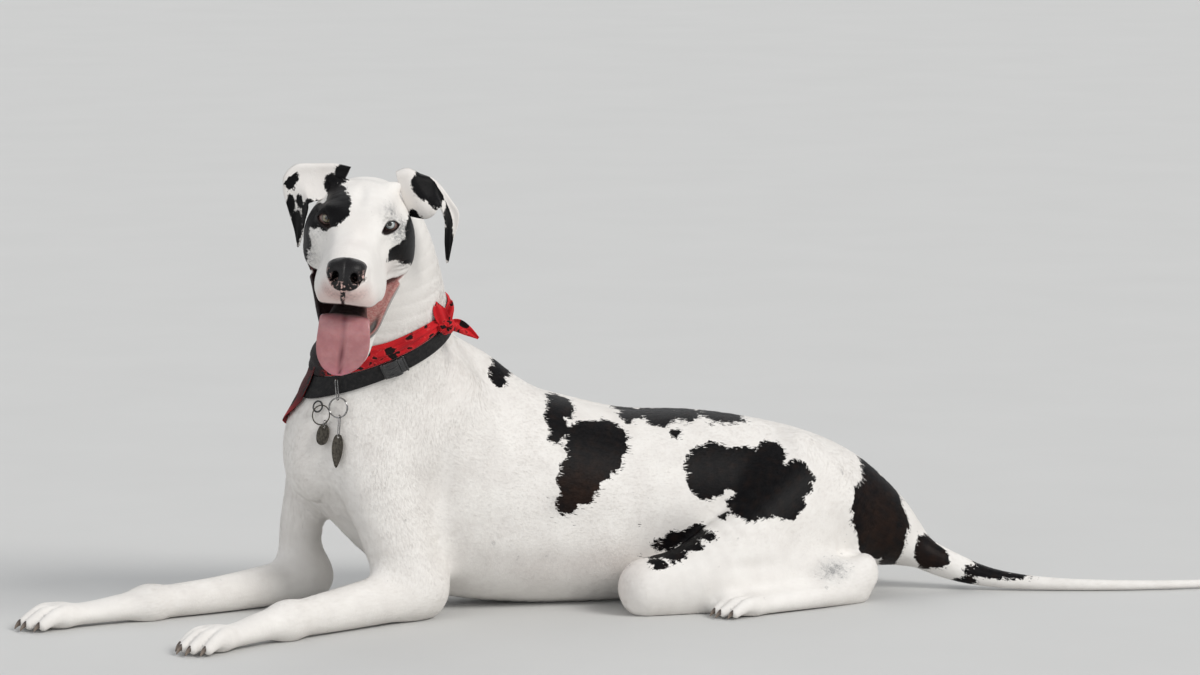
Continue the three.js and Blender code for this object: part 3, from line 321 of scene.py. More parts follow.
BODY_MARKS = [
    [-262, -96, 300, 34, 40, 74, 7],  # blade of the shoulder
    [-300, -118, 236, 34, 40, 60, 5],  # muscle behind the arm
    [-222, -128, 210, 20, 60, 74, -7],  # hollow behind the shoulder
    [-384, -62, 208, 20, 26, 60, -6],  # crease between breast and shoulder
    [-296, -132, 96, 34, 30, 34, 4],  # elbow
    [-330, -92, 160, 22, 30, 34, -4],  # inside of the arm
    [-40, -122, 110, 150, 60, 26, 3],  # edge of the ribs
    [130, -118, 120, 50, 50, 44, -9],  # hollow of the flank
    [378, -58, 262, 30, 26, 16, 6],  # point of the hip
    [300, -122, 178, 60, 40, 40, 5],  # muscle of the thigh
    [430, -104, 120, 26, 40, 60, -5],  # groove at the back of the thigh
    [108, -172, 62, 30, 26, 26, 5],  # knee
    [250, -176, 74, 60, 20, 14, -5],  # fold over the lower leg
    [470, -130, 62, 16, 20, 20, 5],  # point of the hock
    [486, -126, 14, 22, 40, 18, -9],  # under the point of the hock
]
MIDLINE_MARKS = [
    [-404, -22, 250, 24, 12, 70, -5],  # groove down the breast
    [-416, -22, 208, 24, 30, 26, 6],  # point of the breastbone
    [40, 18, 312, 190, 10, 14, -4],  # groove along the back
    [-182, 8, 372, 30, 22, 26, 4],  # ridge of the withers
    [-360, -60, 330, 26, 40, 30, 4],  # loose skin under the collar
]
COAT_DEEP = 2.2  # the skin lies this far inside the solids


TRUNK_MIDDLE = 18  # y of the plane that halves the trunk
body_shape = moulded(plain_body, BODY_MARKS + mirror(BODY_MARKS, TRUNK_MIDDLE) + MIDLINE_MARKS)

# The head, in a frame of its own: x forward along the muzzle, y to the dog's left, z up, with its
# origin midway between the pupils

HEAD_AT = np.array([-392, -265, 648.5])
HEAD_TURN = math.radians(180 + 71.8)
HEAD_DIP = math.radians(12.5)
HEAD_ROLL = math.radians(-5.75)


def turned(axis, angle):
    """Matrix that turns about one axis."""
    c, s = math.cos(angle), math.sin(angle)
    a, b = [(1, 2), (2, 0), (0, 1)][axis]
    m = np.eye(3)
    m[a, a] = m[b, b] = c
    m[a, b], m[b, a] = -s, s
    return m


HEAD_AXES = turned(2, HEAD_TURN) @ turned(1, HEAD_DIP) @ turned(0, HEAD_ROLL)


def from_head(q):
    """Points of the head's frame in the dog's frame."""
    return q @ HEAD_AXES.T + HEAD_AT


def to_head(p):
    """Points of the dog's frame in the head's frame."""
    return (p - HEAD_AT) @ HEAD_AXES


EYE_APART = 47.8
EYE_RADIUS = 13.5
EYE_TURN = math.radians(9)  # each eye looks this far outwards

skull = limb([
    [-146, 0, -12, 36, 28], [-120, 0, -15, 57, 43], [-75, 0, -18, 69, 57], [-30, 0, -17, 68, 56],
    [8, 0, -16, 51, 44],
], 2.4)
muzzle = limb([
    [-10, 0, -44, 52, 47], [35, 0, -45, 45, 46], [80, 0, -48, 42, 44], [122, 0, -49, 40, 42],
    [150, 0, -46, 36, 36], [161, 0, -41, 29, 31],
], 2.7)
flews = [
    blend(
        16,
        lump((112, 22 * s, -76), (42, 21, 25), 0.1 * s),
        lump((52, 40 * s, -80), (50, 14, 26), 0.12 * s),
    )
    for s in (1, -1)
]
cheeks = [
    blend(24, lump((-46, 51 * s, -28), (48, 26, 28), 0.2 * s), lump((-60, 57 * s, -64), (48, 29, 44)))
    for s in (1, -1)
]
brows = [lump((2, 36 * s, 17), (17, 21, 9), 0.5 * s) for s in (1, -1)]
throat = limb([[-120, 0, -70, 62, 60], [-60, 0, -100, 56, 42], [10, 0, -132, 42, 34]])
jaw = limb([
    [-60, 0, -100, 54, 38], [-15, 0, -124, 52, 35], [30, 1, -146, 47, 31], [80, 2, -168, 40, 29],
    [100, 2, -174, 35, 28], [107, 2, -174, 30, 24],
], 2.4)
lower_lips = [
    limb([[-30, 64 * s, -104, 7, 12], [20, 50 * s + 1, -130, 6.5, 12], [75, 41 * s + 3, -142, 5.5, 10],
          [104, 29 * s + 3, -150, 5.5, 8]])
    for s in (1, -1)
]
mouth = limb([
    [-48, 0, -94, 74, 2], [-10, 0, -104, 72, 10], [50, 0, -119, 70, 21], [120, 0, -120, 68, 31],
    [190, 0, -116, 66, 40],
], 2.2)
palate = limb([[20, 0, -90, 22, 12], [80, 0, -92, 24, 14], [126, 0, -94, 22, 9]])
nose_bed = lump((162, 0, -28), (17, 28, 22))

HEAD_MARKS = [
    [-20, 0, 38, 44, 9, 16, -4.5],  # furrow of the brow
    [22, 0, 6, 20, 18, 12, -4],  # stop
    [70, 0, 2, 50, 12, 10, 2.5],  # bridge of the muzzle
    [-78, 0, 42, 34, 12, 14, 2.5],  # crest of the skull
    [173, -1, -58, 16, 2.2, 14, -4.5],  # cleft of the upper lip
    [150, 0, -94, 18, 24, 8, 1.5],
]
HEAD_SIDE_MARKS = [
    [34, 42, -22, 26, 10, 14, -3.5],  # hollow before the eye
    [-2, 66, -22, 24, 12, 8, 3],  # cheek bone
    [-44, 62, 16, 22, 14, 14, -5],  # temple
    [-8, 56, -15, 12, 12, 2.2, -1.6],  # fold under the eye
    [-20, 66, 2, 12, 10, 2.4, -1.6],  # fold behind the eye
    [-18, 72, -72, 20, 10, 2.6, -2.2],  # folds over the corner of the mouth
    [-24, 76, -80, 18, 10, 2.6, -2],
    [-14, 70, -63, 18, 10, 2.4, -1.6],
    [100, 42, -64, 30, 8, 18, 2.5],  # cushion of the whiskers
    [140, 32, -34, 14, 12, 10, -2.5],  # wing of the muzzle beside the nose
    [-52, 78, -52, 30, 10, 30, 2.5],  # cheek
]


def lid_frame(p, side):
    """Points in the frame of one eye: out along its gaze, across it and up."""
    q = p - (-4, EYE_APART * side, 0)
    c, s = math.cos(EYE_TURN * side), math.sin(EYE_TURN * side)
    return q[:, 0] * c + q[:, 1] * s, (q[:, 1] * c - q[:, 0] * s) * side, q[:, 2]


def eye_opening(side):
    """Space between the lids: where height / lid height is under 1 - |across / half width| to the
    power 2.3, with the inner corner a little lower, before the middle of the eyeball."""

    def field(p):
        out, across, up = lid_frame(p, side)
        up = up - 0.10 * across
        arch = 1 - np.abs(across / 12.6) ** 2.3
        high = np.where(up > 0, up / 6.5, -up / 5.3)
        return np.maximum((high - arch) * 4.2, 6 - out)

    return field


def lids(side):
    """Lids: a shell round the eyeball that stands out a little from the socket."""
    return lump((-3.5, (EYE_APART - 0.5) * side, 0.4), (16.6, 18.5, 15.6))


openings = [eye_opening(s) for s in (1, -1)]
head_marks = HEAD_MARKS + HEAD_SIDE_MARKS + mirror(HEAD_SIDE_MARKS)
head_base = blend(22, skull, muzzle, blend(14, *cheeks), blend(12, *flews), throat, jaw)
head_full = blend(
    6,
    moulded(blend(7, head_base, *brows, nose_bed, *lower_lips), head_marks),
    *[lids(s) for s in (1, -1)],
)
head_open = scoop(5, scoop(6, head_full, mouth), palate)
for opening in openings:
    head_open = scoop(1.6, head_open, opening)
nostrils = [
    blend(4, lump((180, -2 + 13.5 * s, -27), (13, 6, 7.5), 0.35 * s),
          lump((172, -2 + 22 * s, -33), (13, 9, 2.6), 0.5 * s, 0.15))
    for s in (1, -1)
]
head_open = scoop(2, head_open, blend(2, *nostrils))
ear_roots = [limb([[-82, 38 * s, 30, 11, 10], [-90, 56 * s, 35, 7, 8]]) for s in (1, -1)]
head_whole = blend(14, head_open, *ear_roots)
head_and_neck = blend(30, head_whole, lambda q: trunk(from_head(q)))

# The two skins meet out of sight under the collar

COLLAR_AT = np.array([-300, -28, 421.0])
COLLAR_FACING = unit(np.array([-0.426, -0.137, 0.894]))
LAP = 5  # each skin runs this far past the middle of the webbing


def under_collar(p):
    """The body, cut off just above the middle of the collar."""
    return np.maximum(body_shape(p), (p - COLLAR_AT) @ COLLAR_FACING - LAP)


def over_collar(q):
    """The head and neck, cut off just under the middle of the collar, in the head's frame."""
    return np.maximum(head_and_neck(q), -(from_head(q) - COLLAR_AT) @ COLLAR_FACING - LAP)


# Surfaces of fields


def surface_net(field, low, high, cell):
    """Closed quads where a field is zero: one point in each cell of the grid that the surface
    crosses, at the mean of its crossings with the cell's edges, and one quad round each crossed edge.
    Blocks of 4 by 4 by 4 cells far from the surface keep the value at their middle."""
    low = np.array(low, float)
    blocks = np.ceil((np.array(high) - low) / (4 * cell)).astype(int)
    corner = np.stack(np.meshgrid(*[np.arange(n) for n in blocks], indexing="ij"), -1).reshape(-1, 3)
    middle = field(low + (corner * 4 + 1.5) * cell)
    values = middle.reshape(blocks).astype(np.float32)
    for axis in range(3):
        values = np.repeat(values, 4, axis)
    near = corner[np.abs(middle) < 5.2 * cell]
    inner = np.stack(np.meshgrid(*[np.arange(4)] * 3, indexing="ij"), -1).reshape(-1, 3)
    index = (near[:, None] * 4 + inner[None]).reshape(-1, 3)
    values[tuple(index.T)] = field(low + index * cell)
    for axis in range(3):
        edge = [slice(None)] * 3
        for end in (0, -1):
            edge[axis] = end
            values[tuple(edge)] = cell
    inside = values < 0
    corners = [(i, j, k) for i in (0, 1) for j in (0, 1) for k in (0, 1)]
    span = np.array(values.shape) - 1
    part = [inside[i:i + span[0], j:j + span[1], k:k + span[2]] for i, j, k in corners]
    full = np.logical_and.reduce(part)
    some = np.logical_or.reduce(part)
    cells = np.argwhere(some & ~full)
    at = np.stack([values[tuple((cells + c).T)] for c in corners], 1)
    total = np.zeros((len(cells), 3))
    count = np.zeros(len(cells))
    for a in range(8):
        for b in range(a + 1, 8):
            if bin(a ^ b).count("1") != 1:
                continue
            cut = (at[:, a] < 0) != (at[:, b] < 0)
            t = np.where(cut, at[:, a] / np.where(cut, at[:, a] - at[:, b], 1), 0)[:, None]
            point = np.array(corners[a]) * (1 - t) + np.array(corners[b]) * t
            total += np.where(cut[:, None], point, 0)
            count += cut
    points = low + (cells + total / count[:, None]) * cell
    number = np.full(span, -1, np.int32)
    number[tuple(cells.T)] = np.arange(len(cells))
    quads = []
    for axis in range(3):
        u, v = (axis + 1) % 3, (axis + 2) % 3
        first = [slice(1, n) for n in span]
        first[axis] = slice(0, span[axis])
        second = list(first)
        second[axis] = slice(1, span[axis] + 1)
        here, there = inside[tuple(first)], inside[tuple(second)]
        start = np.array([s.start for s in first])
        for out in (True, False):
            edges = np.argwhere(here & ~there if out else there & ~here) + start
            ring = []
            for du, dv in ((1, 1), (0, 1), (0, 0), (1, 0)):
                step = np.zeros(3, int)
                step[u], step[v] = du, dv
                ring.append(number[tuple((edges - step).T)])
            quads.append(np.stack(ring if out else ring[::-1], 1))
    return points, np.vstack(quads)


def slope_of(field, p, here, step=0.3):
    """Slope of a field by its differences over a small step along each axis."""
    return np.stack([(field(p + np.eye(3)[i] * step) - here) / step for i in range(3)], 1)


def settle(points, field, reach, depth=0.0, rounds=2):
    """Points moved down the slope of a field until it is -depth there, a reach at most each round."""
    for _ in range(rounds):
        here = field(points)
        slope = slope_of(field, points, here)
        move = slope * ((here + depth) / np.maximum((slope**2).sum(1), 0.05))[:, None]
        size = np.linalg.norm(move, axis=1, keepdims=True)
        points = points - move * np.minimum(1, reach / np.maximum(size, 1e-9))
    return points


def refined(points, quads, chosen):
    """Faces of up to 8 corners, -1 where there is none: each chosen quad parted into four, and each
    other one with the middles of those of its edges that a chosen one shares."""
    ends = np.sort(np.stack([quads, np.roll(quads, -1, 1)], 2), 2).astype(np.int64)
    code = ends[..., 0] * len(points) + ends[..., 1]
    parted = np.unique(code[chosen])
    place = np.minimum(np.searchsorted(parted, code), len(parted) - 1)
    middle = np.where(parted[place] == code, len(points) + place, -1)
    middles = (points[parted // len(points)] + points[parted % len(points)]) / 2
    centre = len(points) + len(parted) + np.arange(chosen.sum())
    new_points = np.vstack([points, middles, points[quads[chosen]].mean(1)])
    small = np.vstack([
        np.stack([quads[chosen][:, i], middle[chosen][:, i], centre, middle[chosen][:, i - 1]], 1)
        for i in range(4)
    ])
    small = np.hstack([small, np.full((len(small), 4), -1)])
    others = np.stack([quads[~chosen], middle[~chosen]], 2).reshape(-1, 8)
    return new_points, np.vstack([small, others])


def eased(points, quads):
    """Points drawn half way to the mean of their neighbours and then as far back again, which takes
    out creases and keeps the size."""
    ends = np.vstack([quads[:, [i, (i + 1) % 4]] for i in range(4)])
    both_ways = np.vstack([ends, ends[:, ::-1]])
    count = np.maximum(np.bincount(both_ways[:, 0], minlength=len(points)), 1)[:, None]
    for share in (0.5, -0.52):
        mean = np.stack([
            np.bincount(both_ways[:, 0], points[both_ways[:, 1], i], len(points)) for i in range(3)
        ], 1) / count
        points = points + (mean - points) * share
    return points


# Uneven values, the markings and the way that the hair lies


def ripple(p, size, seed):
    """Uneven values from about -1 to 1 that vary over the size: a sum of sines along seeded ways."""
    rng = np.random.default_rng(seed)
    ways = unit(rng.normal(size=(12, 3))) * rng.uniform(0.6, 1.6, (12, 1)) * 2 * math.pi / size
    return np.sin(p @ ways.T + rng.uniform(0, 2 * math.pi, 12)).sum(1) / 3.4


# Black patches: x, y, z of the middle and half sizes along x and z. Those of the head
# are in its frame, with half sizes along y and z.

BODY_PATCHES = [
    [-106, -11, 381, 21, 19], [-113, -31, 368, 16, 14],  # withers
    [-13, -30, 323, 23, 24], [-30, -69, 297, 17, 30], [-39, -85, 280, 9, 12],
    [28, -90, 261, 50, 52], [59, -79, 269, 25, 36], [-6, -115, 213, 34, 42], [-27, -121, 178, 18, 18],
    [105, 6, 300, 24, 12], [148, -13, 300, 26, 22], [195, 4, 300, 36, 15], [262, 4, 294, 42, 15],
    [168, -63, 273, 8, 6],
    [207, -103, 216, 37, 42], [224, -90, 239, 27, 20], [272, -100, 216, 52, 38], [317, -87, 237, 24, 22],
    [304, -133, 192, 54, 48], [350, -128, 204, 30, 30], [330, -154, 166, 28, 25], [274, -151, 168, 44, 24],
    [222, -147, 148, 4, 4], [86, -123, 137, 3, 3],
    [110, -160, 84, 15, 10], [134, -146, 101, 25, 16], [160, -142, 114, 29, 16], [188, -142, 124, 17, 10],
    [500, -44, 190, 26, 34], [522, -60, 160, 34, 36], [488, -94, 142, 42, 58], [530, -66, 122, 27, 34],
    [494, -86, 92, 38, 42], [527, -66, 84, 24, 34], [530, -56, 50, 15, 26],  # rump
    [592, -55, 64, 22, 30], [608, -60, 54, 18, 22], [653, -70, 16, 15, 10],
    [690, -81, 34, 40, 13], [729, -92, 27, 24, 8],
    # the right side, which the photograph doesn't show
    [-330, 106, 196, 30, 44], [-300, 120, 150, 20, 26], [-352, 92, 240, 14, 16],
    [-60, 152, 236, 52, 34], [-20, 140, 262, 30, 30], [-84, 160, 200, 20, 26],
    [120, 150, 150, 34, 22], [148, 140, 176, 22, 20],
    [262, 132, 222, 44, 30], [300, 140, 186, 34, 40], [352, 96, 250, 26, 22],
    [430, 110, 120, 22, 40], [200, 168, 60, 30, 12], [30, 168, 120, 7, 6],
]
PATCH_DEEP = 58  # half size of a patch across the trunk
HEAD_PATCHES = [
    # round the right eye, up to the ear and down the cheek
    [8, -50, 18, 33, 30], [10, -30, 24, 17, 22], [-59, -47, 29, 17, 14], [-30, -46, 32, 22, 16],
    [-80, -38, 44, 14, 12], [-31, -82, -20, 16, 36], [-14, -79, -43, 10, 20], [-10, -70, 2, 20, 22],
    [-49, -73, -100, 5, 18], [-40, -80, -70, 6, 34],
    # behind the left eye
    [-50, 84, -42, 15, 34], [-12, 77, -40, 23, 22], [9, 66, -42, 17, 15], [-35, 83, -58, 17, 14],
    [-46, 79, -8, 9, 13], [-36, 82, -26, 19, 30],
    # ears
    [-92, -115, 26, 12, 17], [-85, -113, -14, 8, 18], [-78, -100, -48, 12, 31], [-74, -97, -1, 6, 14],
    [-74, -52, 36, 9, 9], [-90, -33, 50, 16, 8],
    [-78, 97, 40, 21, 18], [-79, 81, 46, 12, 14], [-73, 113, 27, 14, 15],
    [-85, 131, -4, 8, 18], [-86, 134, -45, 9, 37],
]
HEAD_DEEP = 46
# Grey: x, y, z, half sizes and strength. Painted shade on the right cheek and muzzle, merle grey elsewhere
HEAD_GREYS = [
    [7, 47, 7, 20, 15, 15, 0.45], [-2, 51, 23, 20, 16, 8, 0.3], [-6, 68, -1, 20, 11, 12, 0.5],
    [4, 65, -12, 24, 16, 14, 0.6], [-97, 9, 36, 20, 14, 12, 0.16], [-19, 53, 23, 20, 12, 9, 0.2],
    [-22, 75, -70, 20, 13, 8, 0.35], [6, -47, -14, 20, 18, 12, 0.35], [-12, -72, -62, 44, 14, 40, 0.5],
    [40, -50, -80, 40, 12, 34, 0.35], [172, -2, -54, 26, 32, 9, 0.4], [-21, -37, 32, 24, 11, 9, 0.4],
]
BODY_GREYS = [
    [402, -156, 59, 27, 30, 16, 0.6], [-30, -122, 176, 22, 30, 18, 0.35], [486, -90, 96, 34, 30, 34, 0.2],
]
BROWNS = [
    [0, -110, 196, 60, 40, 44, 0.7], [500, -84, 110, 60, 50, 90, 0.6], [590, -50, 40, 60, 40, 40, 0.5],
]
PINKS = [
    [172, -2, -54, 26, 36, 15, 1.3], [150, 24, -76, 24, 24, 14, 0.7], [150, -26, -76, 24, 24, 14, 0.7],
    [110, 0, 4, 60, 20, 14, 0.10], [30, 52, -60, 30, 20, 20, 0.12],
]
BODY_PINKS = [[-60, -130, 60, 90, 50, 40, 0.12], [60, -130, 60, 70, 40, 40, 0.12]]


def patchwork(p, patches, deep, axis):
    """Millimetres inside the nearest patch: the greatest of (1 - |(p - middle) / size|) times its
    lesser half size. Each is deep along the given axis and wide along the other level one."""
    best = np.full(len(p), -60.0)
    for x, y, z, wide, high in patches:
        size = (deep, wide, high) if axis == 0 else (wide, deep, high)
        away = np.sqrt((((p - (x, y, z)) / size) ** 2).sum(1))
        best = np.maximum(best, (1 - away) * min(wide, high))
    return best


def spread(p, table):
    """Sum of strength times exp(-|(p - middle) / size| squared)."""
    total = np.zeros(len(p))
    for *at, wide, deep, high, strength in table:
        total += strength * np.exp(-(((p - at) / (wide, deep, high)) ** 2).sum(1))
    return total


def markings(p):
    """What colours each point of the coat: millimetres inside a black patch, with torn edges, and the
    shares of grey, brown and pink."""
    q = to_head(p)
    on_head = np.clip(1 - np.maximum((np.linalg.norm(q - (20, 0, -50), axis=1) - 175) / 12, 0), 0, 1) > 0.5
    torn = 2.4 * ripple(p, 34, 11) + 2.0 * ripple(p, 12, 12) + 1.4 * ripple(p, 5, 13)
    body = patchwork(p, BODY_PATCHES, PATCH_DEEP, 1) + torn
    head = patchwork(q, HEAD_PATCHES, HEAD_DEEP, 0) + 0.55 * torn
    grey = np.where(on_head, spread(q, HEAD_GREYS), spread(p, BODY_GREYS))
    return {
        "black": np.where(on_head, head, body),
        "grey": np.clip(grey * (1 + 0.5 * ripple(p, 7, 14)), 0, 1),
        "brown": np.where(on_head, 0, np.clip(spread(p, BROWNS) + 0.2 * ripple(p, 20, 15), 0, 1)),
        "pink": np.minimum(np.where(on_head, spread(q, PINKS), spread(p, BODY_PINKS)), 1),
    }


# Ears: two edges of the leather, each from the skull to the tip, and how far it bows between them

EAR_RIGHT = {
    "outer": [[-95, -24, 54], [-100, -50, 55], [-100, -80, 52], [-100, -109, 47], [-96, -125, 30],
              [-92, -125, 7], [-88, -116, -20], [-81, -103, -52], [-75, -96, -76]],
    "inner": [[-70, -40, 22], [-58, -62, 10], [-52, -76, 6], [-50, -82, 2], [-52, -82, -6],
              [-56, -83, -15], [-61, -86, -30], [-68, -89, -57], [-75, -94, -77]],
    "bow": [2, 8, 12, 12, 10, 7, 5, 2, 0],
}
EAR_LEFT = {
    "outer": [[-92, 46, 56], [-96, 63, 62], [-98, 82, 54], [-100, 98, 48], [-100, 114, 35],
              [-98, 131, 17], [-96, 146, -1], [-94, 147, -23], [-92, 142, -46], [-90, 138, -82]],
    "inner": [[-78, 70, -10], [-66, 97, -8], [-60, 110, 1], [-60, 116, 12], [-64, 120, 13],
              [-70, 124, 4], [-74, 128, -12], [-78, 129, -30], [-83, 130, -51], [-89, 134, -83]],
    "bow": [0, -10, -9, -3, 3, 6, 6, 4, 2, 0],
}


def flow_samples():
    """Points along the limbs, each with the way the hair lies there, the limb's size and its number."""
    rows = []

    def run(stations, turn=None):
        path = smooth_path([s[:5] for s in stations], 6)
        way = unit(np.gradient(path[:, :3], axis=0))
        at = path[:, :3] if turn is None else from_head(path[:, :3])
        way = way if turn is None else way @ turn.T
        number = np.full((len(path), 1), len(rows))
        rows.append(np.hstack([at, way, np.maximum(path[:, 3:4], path[:, 4:5]), number]))

    run(TRUNK)
    run(NECK[::-1])
    run(TAIL)
    for leg in LEGS[:2]:
        run(leg["arm"] + leg["forearm"][1:] + leg["pastern"][1:])
    for leg in LEGS[2:]:
        run(leg["thigh"])
        run(leg["shank"])
        run(leg["foot"])
    for leg in LEGS:
        tip = paw_place(leg, 40, 0, 10)
        run([[*paw_place(leg, -20, 0, 24), 26, 24], [*paw_place(leg, 8, 0, 22), 26, 22], [*tip, 22, 16]])
    run([[x, 0, z, wide, wide] for x, z, wide in
         [(160, -45, 34), (80, -60, 46), (10, -40, 60), (-60, -40, 66), (-120, -60, 60)]], HEAD_AXES)
    for ear in (EAR_RIGHT, EAR_LEFT):
        for edge in ("outer", "inner"):
            run([[*at, 20, 20] for at in ear[edge]], HEAD_AXES)
    return np.vstack(rows)


FLOW = flow_samples()


def lie_of(p, normal):
    """Way the hair lies: the ways of the samples, weighed by exp(-3 |distance / size| squared), laid
    along the skin."""
    way = np.zeros_like(p)
    for start in range(0, len(p), 20000):
        part = slice(start, start + 20000)
        away = ((p[part, None] - FLOW[None, :, :3]) ** 2).sum(2) / FLOW[:, 6] ** 2
        weight = np.exp(-3 * (away - away.min(1, keepdims=True)))
        way[part] = weight @ FLOW[:, 3:6]
    way = way + 0.02 * np.array([0, 0, -1])
    return unit(way - normal * (way * normal).sum(1, keepdims=True))


# Meshes


def mesh_piece(name, points, faces, slot, material, replaced=(), values=None, uv=None):
    """Piece of the object from points in millimetres and faces, whose absent corners are -1. values
    are numbers at the points, and uv places at the corners of the faces."""
    faces = np.asarray(faces)
    there = faces >= 0
    mesh = bpy.data.meshes.new(name)
    mesh.vertices.add(len(points))
    mesh.vertices.foreach_set("co", (np.asarray(points) * MM).astype(np.float32).ravel())
    mesh.loops.add(int(there.sum()))
    mesh.loops.foreach_set("vertex_index", faces[there].astype(np.int32))
    total = there.sum(1).astype(np.int32)
    mesh.polygons.add(len(faces))
    mesh.polygons.foreach_set("loop_start", np.concatenate([[0], np.cumsum(total)[:-1]]).astype(np.int32))
    mesh.polygons.foreach_set("loop_total", total)
    mesh.polygons.foreach_set("use_smooth", np.ones(len(faces), bool))
    mesh.update(calc_edges=True)
    for key, value in (values or {}).items():
        mesh.attributes.new(key, "FLOAT", "POINT").data.foreach_set("value", value.astype(np.float32))
    if uv is not None:
        layer = mesh.uv_layers.new(name=uv[0])
        layer.data.foreach_set("uv", uv[1].astype(np.float32).ravel())
    obj = bpy.data.objects.new(name, mesh)
    bpy.context.scene.collection.objects.link(obj)
    mesh.materials.append(material)
    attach(obj, "root")
    if replaced:
        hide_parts(*replaced)
    return obj


def grid_faces(rows, columns, wrap_rows, wrap_columns):
    """Quads of a grid of points, whose first row or column may follow its last."""
    i = np.arange(rows if wrap_rows else rows - 1)[:, None]
    j = np.arange(columns if wrap_columns else columns - 1)[None]
    up, over = (i + 1) % rows, (j + 1) % columns
    corners = [i * columns + j, i * columns + over, up * columns + over, up * columns + j]
    return np.stack([np.broadcast_to(c, (i.size, j.size)) for c in corners], -1).reshape(-1, 4)


def listed(value, shape, *ends):
    """Values spread over a grid of points, in a list, with those of the points that close its ends."""
    return np.append(np.broadcast_to(value, shape).ravel(), ends)


def join_parts(parts):
    """One list of points and one of quads from several."""
    points, faces, start = [], [], 0
    for p, f in parts:
        points.append(p)
        faces.append(np.where(f >= 0, f + start, -1))
        start += len(p)
    return np.vstack(points), np.vstack(faces)


def tube(rings, closed=False):
    """Skin over rings of points, rows by columns: its ends are filled by a point each at their middle,
    unless the last ring joins the first."""
    rings = np.asarray(rings, float)
    rows, columns = rings.shape[:2]
    points = rings.reshape(-1, 3)
    faces = grid_faces(rows, columns, closed, True)
    if closed:
        return points, faces
    j = np.arange(columns)
    over = (j + 1) % columns
    none = np.full(columns, -1)
    first, last = len(points), len(points) + 1
    low = np.stack([over, j, np.full(columns, first), none], 1)
    above = (rows - 1) * columns
    high = np.stack([j + above, over + above, np.full(columns, last), none], 1)
    return np.vstack([points, rings[0].mean(0), rings[-1].mean(0)]), np.vstack([faces, low, high])


def outwards(part):
    """The same surface with its faces turned so that it holds a positive volume."""
    points, faces = part
    a, b, c = (points[faces[:, i]] for i in (0, 1, 2))
    volume = (a * np.cross(b, c)).sum()
    quad = faces[:, 3] >= 0
    volume += (points[faces[quad, 0]] * np.cross(points[faces[quad, 2]], points[faces[quad, 3]])).sum()
    if volume >= 0:
        return points, faces
    flipped = faces[:, ::-1].copy()
    rolled = np.roll(flipped, -1, 1)
    return points, np.where((faces[:, 3] < 0)[:, None], rolled, flipped)


# Materials


def make(tree, kind, inputs=(), **settings):
    """Shader node with its settings, and with each input a value or another node's output."""
    made = tree.nodes.new(kind)
    for key, value in settings.items():
        setattr(made, key, value)
    for key, value in dict(inputs).items():
        if isinstance(value, bpy.types.NodeSocket):
            tree.links.new(value, made.inputs[key])
        else:
            made.inputs[key].default_value = value
    return made


def colour_mix(tree, share, first, second):
    """Colour between two."""
    return make(tree, "ShaderNodeMix", {"Factor": share, 6: first, 7: second}, data_type="RGBA").outputs[2]


def layered(tree, colour, *layers):
    """Colour with others laid on it in turn, each by its share."""
    for share, other in layers:
        colour = colour_mix(tree, share, colour, other)
    return colour


def sums(tree, kind, *values):
    """Result of one operation on numbers."""
    return make(tree, "ShaderNodeMath", dict(enumerate(values)), operation=kind).outputs[0]


def fades(tree, value, low, high, start=0.0, end=1.0):
    """Smooth step from start to end as a value goes from low to high."""
    return make(tree, "ShaderNodeMapRange", {0: value, 1: low, 2: high, 3: start, 4: end},
                interpolation_type="SMOOTHSTEP").outputs[0]


def noise(tree, place, scale, detail=3.0, rough=0.55):
    """Noise of a scale per metre at a place."""
    return make(tree, "ShaderNodeTexNoise", {"Vector": place, "Scale": scale, "Detail": detail,
                                             "Roughness": rough}).outputs["Fac"]


def stretched(tree, scale, detail=3.0, rough=0.55):
    """Noise of another scale per metre along each axis."""
    place = make(tree, "ShaderNodeMapping", {"Vector": here(tree), "Scale": scale}).outputs[0]
    return noise(tree, place, 1.0, detail, rough)


def pebbles(tree, scale):
    """Distance to the nearest of points scattered by a scale per metre."""
    return make(tree, "ShaderNodeTexVoronoi", {"Vector": here(tree), "Scale": scale}).outputs["Distance"]


def stored(tree, name):
    """Number stored at the points of the mesh."""
    return make(tree, "ShaderNodeAttribute", attribute_name=name).outputs["Fac"]


def here(tree):
    """Place in the object's own frame."""
    return make(tree, "ShaderNodeTexCoord").outputs["Object"]


def group(name, inputs, outputs, build):
    """Node group with numbers as its inputs, filled by build(tree, inputs) -> {output: socket}."""
    tree = bpy.data.node_groups.new(name, "ShaderNodeTree")
    for key, default in inputs.items():
        made = tree.interface.new_socket(key, in_out="INPUT", socket_type="NodeSocketFloat")
        made.default_value = default
    for key, kind in outputs.items():
        tree.interface.new_socket(key, in_out="OUTPUT", socket_type=kind)
    source = tree.nodes.new("NodeGroupInput")
    target = tree.nodes.new("NodeGroupOutput")
    for key, socket in build(tree, source.outputs).items():
        tree.links.new(socket, target.inputs[key])
    return tree


def material(name, build, **constants):
    """Material whose shader has the constants on its own sockets, and what build(tree) gives linked."""
    made = bpy.data.materials.new(name)
    made.use_nodes = True
    tree = made.node_tree
    shader = tree.nodes["Principled BSDF"]
    for key, value in constants.items():
        shader.inputs[key.replace("_", " ")].default_value = value
    for key, socket in build(tree).items():
        tree.links.new(socket, shader.inputs[key])
    return made


def bumped(tree, height, strength, distance):
    """Normal of a height."""
    return make(tree, "ShaderNodeBump", {"Height": height, "Strength": strength,
                                         "Distance": distance}).outputs[0]


